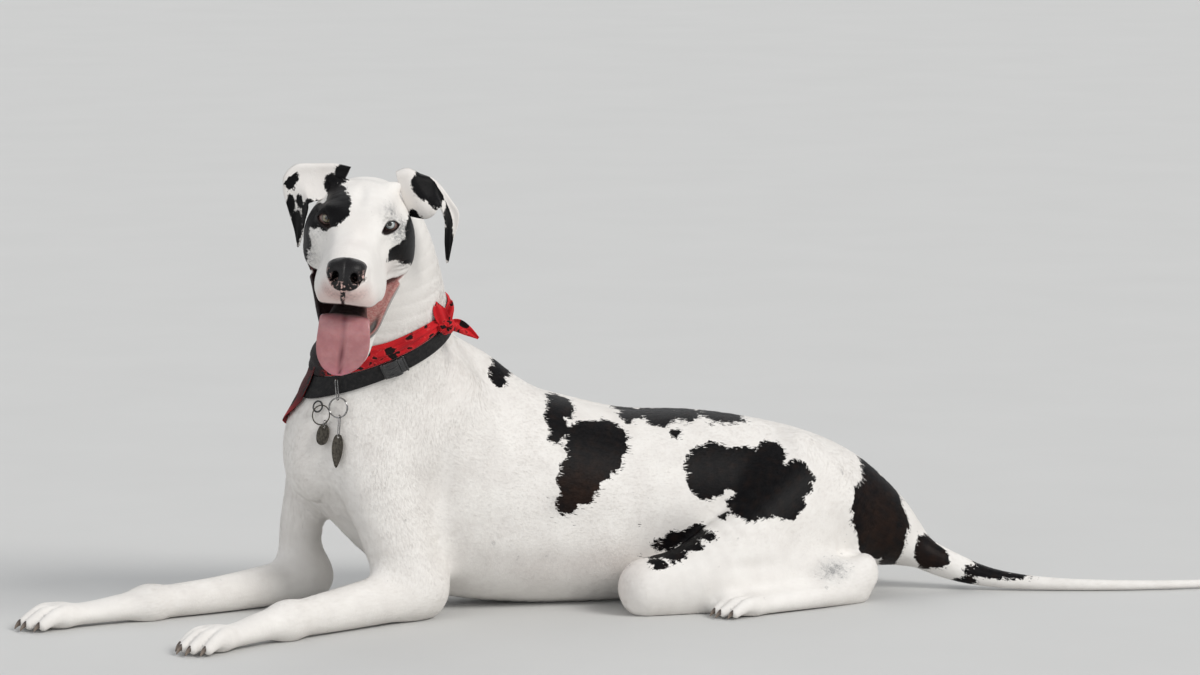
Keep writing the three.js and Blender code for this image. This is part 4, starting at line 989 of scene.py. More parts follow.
WHITE = (0.86, 0.835, 0.80, 1)
SHADE_WHITE = (0.60, 0.56, 0.53, 1)
BLACK = (0.0045, 0.0042, 0.0048, 1)
BROWN_BLACK = (0.022, 0.011, 0.007, 1)
# grey of the merle coat, also laid on as painted shade on the right side of the face
MERLE_AND_SHADE_GREY = (0.115, 0.120, 0.130, 1)
SKIN_PINK = (0.62, 0.36, 0.32, 1)
LIP_DARK = (0.020, 0.014, 0.014, 1)
LIP_PINK = (0.50, 0.19, 0.18, 1)
# painted shade inside the mouth and on the tongue behind its bend
MOUTH_PAINTED_SHADE = (0.012, 0.004, 0.004, 1)
NOSE_BLACK = (0.006, 0.005, 0.0055, 1)
NOSE_PAINTED_HIGHLIGHT = (0.62, 0.42, 0.38, 1)
TONGUE_DARK = (0.42, 0.165, 0.175, 1)
TONGUE_PALE = (0.50, 0.225, 0.23, 1)
TONGUE_TIP = (0.62, 0.17, 0.24, 1)
TONGUE_GROOVE_SHADE = (0.16, 0.035, 0.045, 1)
EYE_WHITE = (0.22, 0.15, 0.13, 1)
EYE_RED = (0.12, 0.05, 0.045, 1)


def coat_look(tree, given):
    """Colour of the hair and height of its texture: white, with black patches whose edge the noise
    tears, and brown-black, grey and pink by their shares; the grey is merle grey, and painted shade
    where the stored grey marks it."""
    at = here(tree)
    edge = noise(tree, at, 420, 4, 0.6)
    fine = noise(tree, at, 1500, 2, 0.6)
    torn = sums(tree, "MULTIPLY", sums(tree, "SUBTRACT", edge, 0.5), 7)
    inside = sums(tree, "ADD", stored(tree, "black"), torn)
    black = fades(tree, inside, -0.8, 0.8)
    cloudy = fades(tree, noise(tree, at, 22, 4), 0.3, 0.7)
    white = colour_mix(tree, cloudy, WHITE, SHADE_WHITE)
    white = colour_mix(tree, given["White shade"], WHITE, white)
    speckle = fades(tree, fine, 0.42, 0.60)
    grey_share = sums(tree, "MULTIPLY", stored(tree, "grey"), sums(tree, "ADD", speckle, 0.35))
    ticks = fades(tree, noise(tree, at, 46, 2), 0.71, 0.76, 0.0, 0.5)
    grey_share = sums(tree, "MAXIMUM", grey_share, sums(tree, "MULTIPLY", ticks, speckle))
    base = colour_mix(tree, sums(tree, "MULTIPLY", stored(tree, "pink"), 0.8), white, SKIN_PINK)
    # grey share: merle grey, and painted shade where the stored grey marks the right cheek
    base = colour_mix(tree, make(tree, "ShaderNodeClamp", {0: grey_share}).outputs[0], base, MERLE_AND_SHADE_GREY)
    dark = colour_mix(tree, stored(tree, "brown"), BLACK, BROWN_BLACK)
    colour = colour_mix(tree, black, base, dark)
    rough = fades(tree, black, 0, 1, 0.62, 0.44)
    height = sums(tree, "ADD", sums(tree, "MULTIPLY", fine, 0.5), noise(tree, at, 260, 3))
    return {"Color": colour, "Roughness": rough, "Height": height}


coat_group = group("hair colour", {"White shade": 0.25}, {
    "Color": "NodeSocketColor", "Roughness": "NodeSocketFloat", "Height": "NodeSocketFloat",
}, coat_look)


def skin_look(tree):
    """Coat with bare skin at the lips, in the mouth and on the rims of the eyes, and painted shade at the
    back of the mouth.
    """
    coat = make(tree, "ShaderNodeGroup", node_tree=coat_group).outputs
    at = here(tree)
    wrinkles = noise(tree, at, 330, 4, 0.6)
    pink = colour_mix(tree, fades(tree, wrinkles, 0.35, 0.65), LIP_PINK, SKIN_PINK)
    # stored deep: painted shade at the back of the mouth
    colour = layered(tree, coat["Color"], (stored(tree, "inner"), pink), (stored(tree, "deep"), MOUTH_PAINTED_SHADE),
                     (stored(tree, "rim"), LIP_DARK))
    bare = sums(tree, "MAXIMUM", stored(tree, "inner"), stored(tree, "rim"))
    rough = sums(tree, "SUBTRACT", coat["Roughness"], sums(tree, "MULTIPLY", bare, 0.22))
    height = sums(tree, "ADD", coat["Height"], sums(tree, "MULTIPLY", wrinkles, bare))
    return {"Base Color": colour, "Roughness": rough, "Normal": bumped(tree, height, 0.35, 0.0012)}


def tuft_look(tree):
    """Hair of the coat pieces."""
    coat = make(tree, "ShaderNodeGroup", node_tree=coat_group).outputs
    return {"Base Color": coat["Color"], "Roughness": coat["Roughness"]}


def nose_look(tree):
    """Black leather in rounded pebbles, with a few pale pink flecks of painted highlight."""
    at = here(tree)
    flecks = fades(tree, noise(tree, at, 190, 3), 0.54, 0.60)
    # flecks: painted highlight where the stored share allows
    bare = sums(tree, "MULTIPLY", flecks, stored(tree, "fleck"))
    colour = colour_mix(tree, bare, NOSE_BLACK, NOSE_PAINTED_HIGHLIGHT)
    rough = fades(tree, noise(tree, at, 90, 2), 0.3, 0.7, 0.28, 0.45)
    height = sums(tree, "SUBTRACT", 1.0, pebbles(tree, 620.0))
    return {"Base Color": colour, "Roughness": rough, "Normal": bumped(tree, height, 0.5, 0.0008)}


def tongue_look(tree):
    """Pink, pinker to the tip, with fine warts, a dark line of painted shade along the groove down the
    middle, and painted shade on the part inside the mouth.
    """
    at = here(tree)
    shade = noise(tree, at, 60, 3)
    # groove and deep: painted shade in the groove and inside the mouth
    colour = layered(
        tree, TONGUE_DARK, (fades(tree, shade, 0.3, 0.7), TONGUE_PALE), (stored(tree, "tip"), TONGUE_TIP),
        (stored(tree, "groove"), TONGUE_GROOVE_SHADE), (stored(tree, "deep"), MOUTH_PAINTED_SHADE),
    )
    rough = fades(tree, shade, 0.3, 0.7, 0.34, 0.5)
    warts = sums(tree, "SUBTRACT", 1.0, pebbles(tree, 900.0))
    height = sums(tree, "ADD", warts, noise(tree, at, 240, 3))
    return {"Base Color": colour, "Roughness": rough, "Normal": bumped(tree, height, 0.35, 0.0007)}


def eye_look(inner, outer):
    """Eyeball: black pupil, streaked iris with a dark edge, and a white with a little red."""

    def look(tree):
        ring = stored(tree, "ring")
        around = {"W": stored(tree, "around"), "Scale": 9.0, "Detail": 3.0}
        spokes = make(tree, "ShaderNodeTexNoise", around, noise_dimensions="1D").outputs["Fac"]
        cloud = noise(tree, here(tree), 500, 2)
        iris = layered(
            tree, inner, (fades(tree, ring, PUPIL, IRIS), outer),
            (fades(tree, spokes, 0.35, 0.7, 0.0, 0.55), (0.03, 0.03, 0.03, 1)),
            (fades(tree, cloud, 0.35, 0.65, 0.0, 0.25), (0.9, 0.9, 0.85, 1)),
            (fades(tree, ring, IRIS - 0.11, IRIS - 0.01), (0.02, 0.02, 0.022, 1)),  # dark edge
            (fades(tree, ring, PUPIL + 0.02, PUPIL - 0.015), (0.002, 0.002, 0.002, 1)),
        )
        white = colour_mix(tree, fades(tree, cloud, 0.4, 0.7, 0.1, 0.5), EYE_WHITE, EYE_RED)
        colour = colour_mix(tree, fades(tree, ring, IRIS, IRIS + 0.05), iris, white)
        return {"Base Color": colour, "Normal": bumped(tree, cloud, 0.05, 0.0002)}

    return look


HERRINGBONE_WIDE = 0.0042
SLANT_YARN = 0.0021
WARP_YARN = 0.0014
COTTON_YARN = 0.0009


def webbing_look(tree):
    """Black nylon woven in herringbone: two sets of slanting yarns by the place along and across."""
    uv = make(tree, "ShaderNodeUVMap", uv_map="weave").outputs[0]
    split = make(tree, "ShaderNodeSeparateXYZ", {0: uv})
    along, across = split.outputs[0], split.outputs[1]
    fold = sums(tree, "PINGPONG", across, HERRINGBONE_WIDE)
    slanting = sums(tree, "ADD", along, fold)
    slant = sums(tree, "SINE", sums(tree, "MULTIPLY", slanting, 2 * math.pi / SLANT_YARN))
    warp = sums(tree, "SINE", sums(tree, "MULTIPLY", across, 2 * math.pi / WARP_YARN))
    height = sums(tree, "ADD", slant, sums(tree, "MULTIPLY", warp, 0.5))
    dust = sums(tree, "MULTIPLY", fades(tree, noise(tree, here(tree), 160, 4), 0.4, 0.75), 0.3)
    colour = colour_mix(tree, dust, (0.007, 0.007, 0.008, 1), (0.055, 0.052, 0.048, 1))
    rough = fades(tree, slant, -1, 1, 0.75, 0.5)
    return {"Base Color": colour, "Roughness": rough, "Normal": bumped(tree, height, 0.55, 0.0005)}


def plastic_look(tree):
    """Moulded black plastic with a fine grain, paler where it rubs."""
    at = here(tree)
    worn = fades(tree, noise(tree, at, 120, 4), 0.55, 0.75, 0.0, 0.6)
    colour = colour_mix(tree, worn, (0.016, 0.016, 0.017, 1), (0.07, 0.07, 0.07, 1))
    return {"Base Color": colour, "Roughness": fades(tree, worn, 0, 1, 0.34, 0.55),
            "Normal": bumped(tree, noise(tree, at, 2600, 2), 0.15, 0.0003)}


def cloth_look(tree):
    """Red cotton in plain weave, printed with dark blots of uneven size in pale thin rings, and nearly
    black where the stored share paints shade."""
    uv = make(tree, "ShaderNodeUVMap", uv_map="cloth").outputs[0]
    wavy = make(tree, "ShaderNodeTexNoise", {"Vector": uv, "Scale": 130.0, "Detail": 3.0}).outputs["Color"]
    moved = make(tree, "ShaderNodeVectorMath", {0: wavy, 3: 0.012}, operation="SCALE").outputs[0]
    place = make(tree, "ShaderNodeVectorMath", {0: uv, 1: moved}, operation="ADD").outputs[0]
    spots = make(tree, "ShaderNodeTexVoronoi", {"Vector": place, "Scale": 60.0, "Randomness": 1.0})
    size = make(tree, "ShaderNodeSeparateXYZ", {0: spots.outputs["Color"]}).outputs[0]
    reach = fades(tree, size, 0.0, 1.0, 0.25, 0.52)
    gap = sums(tree, "SUBTRACT", spots.outputs["Distance"], reach)
    blot = fades(tree, gap, 0.02, -0.02)
    off_ring = sums(tree, "ABSOLUTE", sums(tree, "SUBTRACT", gap, 0.07))
    halo = sums(tree, "MULTIPLY", fades(tree, off_ring, 0.03, 0.0), 0.5)
    faded = fades(tree, noise(tree, here(tree), 40, 3), 0.35, 0.7)
    # stored dark: painted shade on the cloth
    colour = layered(
        tree, (0.60, 0.012, 0.018, 1), (faded, (0.42, 0.008, 0.014, 1)), (halo, (0.75, 0.10, 0.09, 1)),
        (blot, (0.010, 0.004, 0.004, 1)), (stored(tree, "dark"), (0.012, 0.008, 0.009, 1)),
    )
    split = make(tree, "ShaderNodeSeparateXYZ", {0: uv})
    turns = [sums(tree, "MULTIPLY", split.outputs[i], 2 * math.pi / COTTON_YARN) for i in (0, 1)]
    weave = sums(tree, "MULTIPLY", *[sums(tree, "SINE", turn) for turn in turns])
    return {"Base Color": colour, "Normal": bumped(tree, weave, 0.3, 0.0003)}


def metal_look(pale, dark, roughness):
    """Metal with fine scratches and dull spots."""

    def look(tree):
        dull = fades(tree, noise(tree, here(tree), 300, 4), 0.4, 0.7)
        scratch = stretched(tree, (4000, 500, 900), 2.0, 0.5)
        worn = sums(tree, "ADD", dull, scratch)
        return {"Base Color": colour_mix(tree, dull, pale, dark),
                "Roughness": fades(tree, worn, 0.4, 1.5, roughness, roughness + 0.2),
                "Normal": bumped(tree, scratch, 0.12, 0.0002)}

    return look


def claw_look(tree):
    """Horn, dark at the root and paler to the tip, with fine streaks."""
    streak = stretched(tree, (300, 300, 1600))
    horn = colour_mix(tree, streak, (0.10, 0.075, 0.06, 1), (0.30, 0.24, 0.19, 1))
    colour = colour_mix(tree, fades(tree, stored(tree, "tip"), 0.2, 0.8), (0.05, 0.035, 0.03, 1), horn)
    return {"Base Color": colour, "Normal": bumped(tree, streak, 0.2, 0.0003)}


PUPIL = 0.23  # half angles that the pupil and the iris take up at the eye's middle
IRIS = 0.6
skin_finish = material("coat on skin", skin_look, Specular_IOR_Level=0.1)
tuft_finish = material("coat hair", tuft_look, Specular_IOR_Level=0.08)
nose_finish = material("nose leather", nose_look, Specular_IOR_Level=0.25, Coat_Weight=0.1,
                       Coat_Roughness=0.25)
tongue_finish = material("tongue", tongue_look, Subsurface_Weight=0.25, Subsurface_Scale=0.004,
                         Coat_Weight=0.35, Coat_Roughness=0.2)
olive_eye, pale_eye = (
    material(name, eye_look(inner, outer), Roughness=0.08, Coat_Weight=1.0, Coat_Roughness=0.02)
    for name, inner, outer in (
        ("olive eye", (0.22, 0.15, 0.045, 1), (0.12, 0.10, 0.035, 1)),
        ("pale eye", (0.62, 0.66, 0.64, 1), (0.42, 0.50, 0.54, 1)),
    )
)
webbing_finish = material("nylon webbing", webbing_look, Specular_IOR_Level=0.3)
plastic_finish = material("moulded plastic", plastic_look, Coat_Weight=0.6, Coat_Roughness=0.15)
cloth_finish = material("printed cotton", cloth_look, Roughness=0.85, Sheen_Weight=0.06,
                        Specular_IOR_Level=0.25)
steel_look = metal_look((0.36, 0.355, 0.35, 1), (0.11, 0.108, 0.105, 1), 0.16)
steel_finish = material("steel wire", steel_look, Metallic=1.0)
tag_look = metal_look((0.075, 0.066, 0.052, 1), (0.035, 0.030, 0.024, 1), 0.35)
tag_finish = material("dark metal tag", tag_look, Metallic=0.7)
claw_finish = material("horn", claw_look, Roughness=0.35, Coat_Weight=0.3)


# Skin of the body, and of the head and neck

BODY_CELL = 5.3  # sides of the grids' cells, which the paws and the face halve
HEAD_CELL = 2.45


def soft(value, start, end):
    """Smooth step from 0 at the start to 1 at the end."""
    t = np.clip((value - start) / (end - start), 0, 1)
    return t * t * (3 - 2 * t)


def skin_values(p, bare=None):
    """Markings at the points of a skin, with the bare places given or none."""
    values = markings(p)
    for key in ("inner", "deep", "rim"):
        values[key] = bare[key] if bare else np.zeros(len(p))
    return values


def fine_paws(p):
    """Whether the quads at these places are parted once more."""
    near = [np.hypot(p[:, 0] - leg["paw"][0], p[:, 1] - leg["paw"][1]) < 66 * leg["size"] for leg in LEGS]
    return np.logical_or.reduce(near) & (p[:, 2] > 1)


points, quads = surface_net(under_collar, (-900, -440, -14), (1125, 260, 480), BODY_CELL)
points = eased(settle(points, under_collar, 3, COAT_DEEP), quads)
points, faces = refined(points, quads, fine_paws(points[quads].mean(1)))
points = settle(points, under_collar, 2, COAT_DEEP, 1)
points[:, 2] = np.maximum(points[:, 2], 0.2)
body_skin = mesh_piece("skin_body", points, faces, "coat", skin_finish, [
    "torso", "tail", *[f"{part}_{side}" for side in ("left", "right") for part in
                       ("upper_arm", "forearm", "paw_front", "thigh", "lower_leg", "paw_hind")],
], skin_values(points))

FACE_DEEP = 1.2  # the skin of the head and neck lies this far inside the solids


def nose_outline(q):
    """Edge of the nose pad seen from the front: its half width at each height, less the place across."""
    wide = np.interp(q[:, 2], [-47, -45, -42, -36, -28, -19, -9, 0, 4], [4, 13, 20, 26, 30, 31, 29, 21, 9])
    return np.maximum((np.abs(q[:, 1] + 2) - wide) * 0.9, 146 - q[:, 0])


def bare_places(q):
    """Inner lips, dark rims and painted shade at the back of the mouth, by the distance to the spaces
    cut out.
    """
    in_mouth = mouth(q)
    inside = soft(in_mouth, 3.4, 1.8) * soft(q[:, 0], -62, -40)
    above = q[:, 2] > -104 - 0.11 * (q[:, 0] + 10)
    left_lip = soft(q[:, 1], 14, 26) * soft(-104 - 0.11 * (q[:, 0] + 10) - q[:, 2], -8, 0)
    # deep: painted shade inside the mouth, but not on the lower left lip
    deep = inside * (1 - left_lip) * soft(q[:, 1] + 0.2 * q[:, 0], 72, 60)
    lip = soft(np.abs(in_mouth - 3.6), 2.6, 0.9) * soft(q[:, 0], -44, -20)
    lip *= np.where(above, soft(q[:, 1], 46, 26), soft(q[:, 1], 60, 20) * 0.4 + 0.6)
    lids_near = np.minimum(*[np.abs(opening(q)) for opening in openings])
    eye = soft(lids_near, 3.6, 1.8) * soft(np.abs(np.abs(q[:, 1]) - EYE_APART), 24, 18)
    eye *= soft(np.abs(q[:, 2]), 18, 12) * soft(q[:, 0], -18, -8)
    nose = soft(nose_outline(q), -0.5, -2.5) * (q[:, 0] > 140)
    nose = np.maximum(nose, 0.75 * np.exp(-(((q[:, 1] + 1) / 1.6) ** 2)) * soft(q[:, 2], -74, -66)
                      * soft(q[:, 2], -40, -46) * (q[:, 0] > 140))
    return {"inner": inside, "deep": deep, "rim": np.clip(lip + eye + nose, 0, 1)}


def fine_face(q):
    """Whether the quads at these places of the head are parted once more: the eyes, nose and lips."""
    eyes = np.linalg.norm((q - (4, 0, 0)) * (0.8, 0, 1), axis=1) < 25
    eyes &= (np.abs(np.abs(q[:, 1]) - 50) < 26) & (q[:, 0] > -22)
    lips = (np.abs(mouth(q)) < 6) & (q[:, 0] > -46) & (head_full(q) > -9)
    front = (q[:, 0] > 138) & (q[:, 2] > -100)
    return eyes | lips | front


head_points, quads = surface_net(over_collar, (-270, -130, -310), (200, 130, 82), HEAD_CELL)
head_points = eased(settle(head_points, over_collar, 1.4, FACE_DEEP), quads)
head_points, head_faces = refined(head_points, quads, fine_face(head_points[quads].mean(1)))
head_points = settle(head_points, over_collar, 1, FACE_DEEP)
head_skin = mesh_piece("skin_head", from_head(head_points), head_faces, "coat", skin_finish,
                       ["head", "neck", "lower_jaw"],
                       skin_values(from_head(head_points), bare_places(head_points)))

# Nose pad


def nose_shape(q):
    """Pad a little over the muzzle, with the groove down its middle and two nostrils, each a hole
    that runs out into a slit."""
    pad = moulded(lambda p: head_full(p) - 1.6, [
        [172, -2, -34, 20, 2.0, 24, -2.4], [172, 15, -14, 14, 11, 8, 2.0], [172, -19, -14, 14, 11, 8, 2.0],
        [170, 24, -40, 14, 9, 7, 1.8], [170, -28, -40, 14, 9, 7, 1.8], [166, -2, 2, 10, 10, 5, 2.5],
    ])
    return scoop(2, scoop(5, pad, lambda p: -nose_outline(p)), blend(2, *nostrils))(q)


points, quads = surface_net(nose_shape, (136, -44, -66), (196, 42, 16), 1.15)
points = eased(settle(points, nose_shape, 0.7), quads)
# pale flecks on the lower part and the sides: painted highlight on the wings of the nostrils
beside = soft(np.abs(points[:, 1] + 2), 18, 27) * soft(points[:, 2], -14, -24)
flecks = soft(points[:, 2], -28, -38) + beside
mesh_piece("nose_pad", from_head(points), quads, "nose_pad", nose_finish, ["nose"], {"fleck": flecks})

# Eyes


def eyeball(side, sides=72):
    """Ball round the way it looks, with the clear front bulging a twentieth of the radius over the
    iris."""
    ring = np.concatenate([np.linspace(0, 0.8, 34), np.linspace(0.86, math.pi, 22)])[:, None]
    around = circle(sides)[None]
    radius = EYE_RADIUS * (1 + 0.05 * np.exp(-((ring / 0.42) ** 4))) * np.ones_like(around)
    local = np.stack([radius * np.cos(ring), radius * np.sin(ring) * np.cos(around),
                      radius * np.sin(ring) * np.sin(around)], -1)
    gaze = turned(2, math.radians(3 + 2 * side)) @ turned(1, -math.radians(16))
    grid = local.reshape(-1, 3) @ gaze.T + (-4, EYE_APART * side, 0)
    faces = grid_faces(len(ring), sides, False, True)
    rings = listed(ring, (len(ring), sides))
    turns = listed(around, (len(ring), sides))
    streaks = np.cos(turns) * 2 + np.sin(turns * 3)
    return grid, outwards((grid, faces))[1], {"ring": rings, "around": streaks}


for name, side, finish in (("eye_left", 1, pale_eye), ("eye_right", -1, olive_eye)):
    points, faces, values = eyeball(side)
    mesh_piece(name + "_ball", from_head(points), faces, "eye", finish, [name], values)

# Tongue

TONGUE = [
    [20, 0, -128, 24, 10], [60, 0, -132, 29, 11], [96, 0, -128, 33, 11], [116, 0, -118, 36, 9],
    [130, 0, -115, 38, 7.5], [138, 1, -128, 39.5, 6.5], [140, 1, -148, 40.5, 5.5],
    [140, 0, -166, 38, 5], [139, -2, -184, 29, 4.5], [138, -4, -196, 16, 4], [138, -5, -200, 8, 3],
]


def tongue_part(rows=9, sides=72):
    """Strap along the path, in section an oval of the power 8 / 3, cupped at its edges, with a
    groove down the middle of its top that is deepest between the bend and the tip."""
    path = smooth_path(TONGUE, rows)
    way = unit(np.gradient(path[:, :3], axis=0))
    across = np.array([0, 1.0, 0])
    top = np.cross(way, across)
    angle = circle(sides)
    flat = boxy(np.cos(angle), 0.75)
    tall = boxy(np.sin(angle), 0.75)
    down = np.linspace(0, 1, len(path))[:, None]
    over_bend = soft(down, 0.25, 0.5)
    wander = 2.5 * np.sin(down * 9)
    place = flat[None] * path[:, 3:4] - wander
    groove = np.exp(-((place / 2.6) ** 2)) * (tall > 0)[None] * over_bend * soft(1 - down, 0.01, 0.12)
    ripples = 0.5 * np.sin(down * 60 + flat[None] * 5) * (np.abs(flat) ** 3)[None] * over_bend
    cup = 3.2 * flat[None] ** 4 * over_bend * soft(1 - down, 0.02, 0.3)
    high = tall[None] * path[:, 4:5] - 2.6 * groove * (path[:, 4:5] > 3) + cup + ripples
    rings = path[:, None, :3] + flat[None, :, None] * path[:, 3:4, None] * across
    rings = rings + high[..., None] * top[:, None]
    return (*outwards(tube(rings)), {
        # groove: how deep the groove sinks, also the share of painted shade in it
        "groove": listed(groove, rings.shape[:2], 0, 0),
        "tip": listed(0.7 * soft(down, 0.72, 1.0), rings.shape[:2], 0, 0.7),
        # deep: painted shade on the tongue inside the mouth, before the bend
        "deep": listed(1 - soft(down, 0.33, 0.41), rings.shape[:2], 1, 0),
    })


points, faces, values = tongue_part()
mesh_piece("tongue_strap", from_head(points), faces, "tongue", tongue_finish, ["tongue"], values)

# Ears


def ear_part(ear, side, columns=34, steps=9):
    """Leather between the two edges: it bows out by (1 - v squared) across and is as thick as
    (3.4 - 1.8 t) times the square root of 1 - v to the eighth, with soft folds down it."""
    first = smooth_path(ear["outer"], steps)
    second = smooth_path(ear["inner"], steps)
    bow = smooth_path([[b, 0, 0] for b in ear["bow"]], steps)[:, 0]
    t = np.linspace(0, 1, len(first))[:, None]
    v = np.linspace(-1, 1, columns)
    way = np.gradient(first, axis=0) + np.gradient(second, axis=0)
    out = unit(np.cross(way, second - first)) * side
    bend = v[None] + 0 * t
    folds = 1.6 * np.sin(3.2 * bend + 5 * t) * soft(t, 0.05, 0.3) * (1 - bend**2)
    roll = -3.0 * np.exp(-(((bend + 0.82) / 0.2) ** 2)) * soft(1 - t, 0.1, 0.5)
    off = bow[:, None] * (1 - bend**2) + folds + roll
    thick = (3.4 - 1.8 * t) * (1 - bend**8) ** 0.5
    middle = first[:, None] * (1 - bend[..., None]) / 2 + second[:, None] * (1 + bend[..., None]) / 2
    faces_of = [middle + (off + k * thick)[..., None] * out[:, None] for k in (1, -1)]
    rings = np.concatenate([faces_of[0], faces_of[1][:, -2:0:-1]], 1)
    inner_side = np.concatenate([np.zeros(columns), np.ones(columns - 2)])
    return (*outwards(tube(rings)), listed(inner_side, rings.shape[:2], 0, 0))


for name, ear, side in (("ear_left", EAR_LEFT, 1), ("ear_right", EAR_RIGHT, -1)):
    points, faces, inner = ear_part(ear, side)
    values = skin_values(from_head(points))
    values["pink"] = values["pink"] + 0.05 * inner
    mesh_piece(name + "_leather", from_head(points), faces, "coat", skin_finish, [name], values)

# Claws

CLAW_LONG = 17


def claw_part(leg, across):
    """Curved cone out of a toe's tip that turns down to the floor, narrower than it is high."""
    ahead = 14 if abs(across) < 15 else 0
    t = np.linspace(0, 1, 12)[:, None]
    angle = circle(14)[None]
    along = ahead + 25 + CLAW_LONG * t - 3 * t**2
    up = 13 + 2.5 * t - 12.5 * t**1.7
    width = 3.9 * (1 - t) ** 0.6 + 0.25
    height = 5.2 * (1 - t) ** 0.6 + 0.25
    side = across * 1.07 + width * np.cos(angle)
    grid = np.stack([along + height * 0.35 * np.sin(angle), side + 0 * t, up + height * np.sin(angle)], -1)
    c, s = math.cos(leg["heading"]), math.sin(leg["heading"])
    k = leg["size"]
    x = leg["paw"][0] + (c * grid[..., 0] - s * grid[..., 1]) * k
    y = leg["paw"][1] + (s * grid[..., 0] + c * grid[..., 1]) * k
    rings = np.stack([x, y, np.maximum(grid[..., 2] * k, 0.3)], -1)
    return (*outwards(tube(rings)), listed(t, rings.shape[:2], 0, 1))


claws = [claw_part(leg, across) for leg in LEGS for across in TOES]
points, faces = join_parts([claw[:2] for claw in claws])
tips = np.concatenate([claw[2] for claw in claws])
mesh_piece("claws", points, faces, "nose_pad", claw_finish, values={"tip": tips})


# Collar, in a frame of its own: degrees round the neck from the throat towards the dog's left, the
# height over the middle of the webbing, and the distance out from the solids' skin

WEBBING_WIDE = 25
NECK_RADIUS = 96
FORWARD = np.array([-1.0, 0, 0])
TO_THROAT = unit(FORWARD - COLLAR_FACING * (FORWARD @ COLLAR_FACING))
TO_LEFT = np.cross(COLLAR_FACING, TO_THROAT)


def over(degrees, height, off):
    """Points over the skin, found by halving the stretch in which each way out leaves the body. The
    three values are single or grids that fit together."""
    given = [np.asarray(value, float) for value in (degrees, height, off)]
    degrees, height, off = np.broadcast_arrays(*given)
    turn = np.radians(degrees.ravel())[:, None]
    way = TO_THROAT * np.cos(turn) + TO_LEFT * np.sin(turn)
    start = COLLAR_AT + COLLAR_FACING * height.ravel()[:, None]
    near, far = np.full(len(way), 30.0), np.full(len(way), 190.0)
    for _ in range(11):
        middle = (near + far) / 2
        inside = body_shape(start + way * middle[:, None]) < 0
        near, far = np.where(inside, middle, near), np.where(inside, far, middle)
    return (start + way * (far + off.ravel())[:, None]).reshape(*degrees.shape, 3)


def spot(degrees, height, off):
    """Place on the neck with the ways round, up and out there."""
    turns = [degrees] * 3 + [degrees - 3, degrees + 3]
    at, low, high, before, after = over(turns, [height, height - 6, height + 6, height, height], [off] * 5)
    up = unit(high - low)
    out = unit(np.cross(unit(after - before), up))
    return at, np.stack([np.cross(up, out), up, out])


def at_spot(where, local):
    """Points given round, up and out from a place on the neck."""
    at, ways = where
    return at + np.asarray(local) @ ways


def webbing_part(rows=240, columns=36):
    """Band with rounded edges, and the place along and across the weave at each of its points."""
    angles = np.linspace(0, 360, rows, endpoint=False)[:, None]
    turn = circle(columns)
    height = boxy(np.cos(turn), 0.35) * WEBBING_WIDE / 2
    face = boxy(np.sin(turn), 0.5)
    off = 1.9 + face[None] * 1.35 + 0.25 * np.sin(np.radians(angles) * 9)
    part = tube(over(angles, height, off), True)
    along = listed(np.radians(angles) * NECK_RADIUS * MM, off.shape)
    return part, along, listed(height * MM + 0.05 * (face < 0), off.shape)


def corner_uv(name, faces, *coordinates):
    """Named layer with the coordinates of the points at each corner of the faces."""
    flat = faces[faces >= 0]
    return name, np.stack([c[flat] for c in coordinates], 1)


part, along, up = webbing_part()
points, faces = outwards(part)
mesh_piece("collar_webbing", points, faces, "webbing", webbing_finish, ["collar"],
           uv=corner_uv("weave", faces, along, up))

# Buckle


def slab(wide, high, deep, round_by, bulge=0.0, columns=40, rows=10):
    """Closed plate round the origin: an oblong of the power 2 + 6 / round_by in plan, its faces crowned
    by the bulge and its rim rounded."""
    turn = circle(columns)
    power = 2 / (2 + 6 / round_by)
    edge = np.stack([boxy(np.cos(turn), power) * wide / 2, boxy(np.sin(turn), power) * high / 2], 1)
    t = np.linspace(0, math.pi, rows)
    crown, shoulder = 1 + bulge, 1 + bulge * 0.7
    side = 1 - (1 - np.sin(t[1:-1])) * min(0.5, deep / min(wide, high))
    lift = np.concatenate([[-crown, -shoulder], -np.cos(t[1:-1]) * 0.98, [shoulder, crown]])
    shrink = np.concatenate([[0.001, 0.55], side, [0.55, 0.001]])
    rings = [np.hstack([edge * s, np.full((columns, 1), z * deep / 2)]) for s, z in zip(shrink, lift)]
    return outwards(tube(rings))


BUCKLE_FRAME = spot(87, 0, 0)


def bent(local, radius=NECK_RADIUS):
    """Points round, up and out that are rolled to the neck's curve."""
    x, y, z = np.asarray(local).T
    turn = x / radius
    return np.stack([(radius + z) * np.sin(turn), y, (radius + z) * np.cos(turn) - radius], 1)


def buckle_parts():
    """Side-release buckle: a housing with a raised middle rib and two thin ones, a prong along each
    side, a plug, and bars across the ends."""
    parts = []

    def put(shape, x, y, z):
        points, faces = shape
        parts.append((at_spot(BUCKLE_FRAME, bent(points + (x, y, z))), faces))

    put(slab(25, 27, 5.6, 1.2, 0.1), -4, 0, 5.4)  # housing
    for s in (1, -1):
        put(slab(14, 4.6, 6.2, 2.2), 2.5, 11.6 * s, 5.6)  # prongs pressed by finger and thumb
        put(slab(10, 2.2, 2.4, 2.0), -8, 8.2 * s, 8.4)  # ribs
        put(slab(3.2, 27, 5.2, 1.4), -17.2 + 0.4 * s, 0, 4.6)  # bar
    put(slab(18, 6.5, 2.6, 1.6, 0.2), -4, 0, 8.3)  # middle rib
    put(slab(9, 25, 4.4, 1.4), 12.6, 0, 4.8)  # plug
    put(slab(3.4, 28, 5.4, 1.6), 17.6, 0, 5.0)  # bar
    put(slab(3.0, 24, 3.0, 1.6), 9.2, 0, 7.0)  # ridge of the plug
    return join_parts(parts)


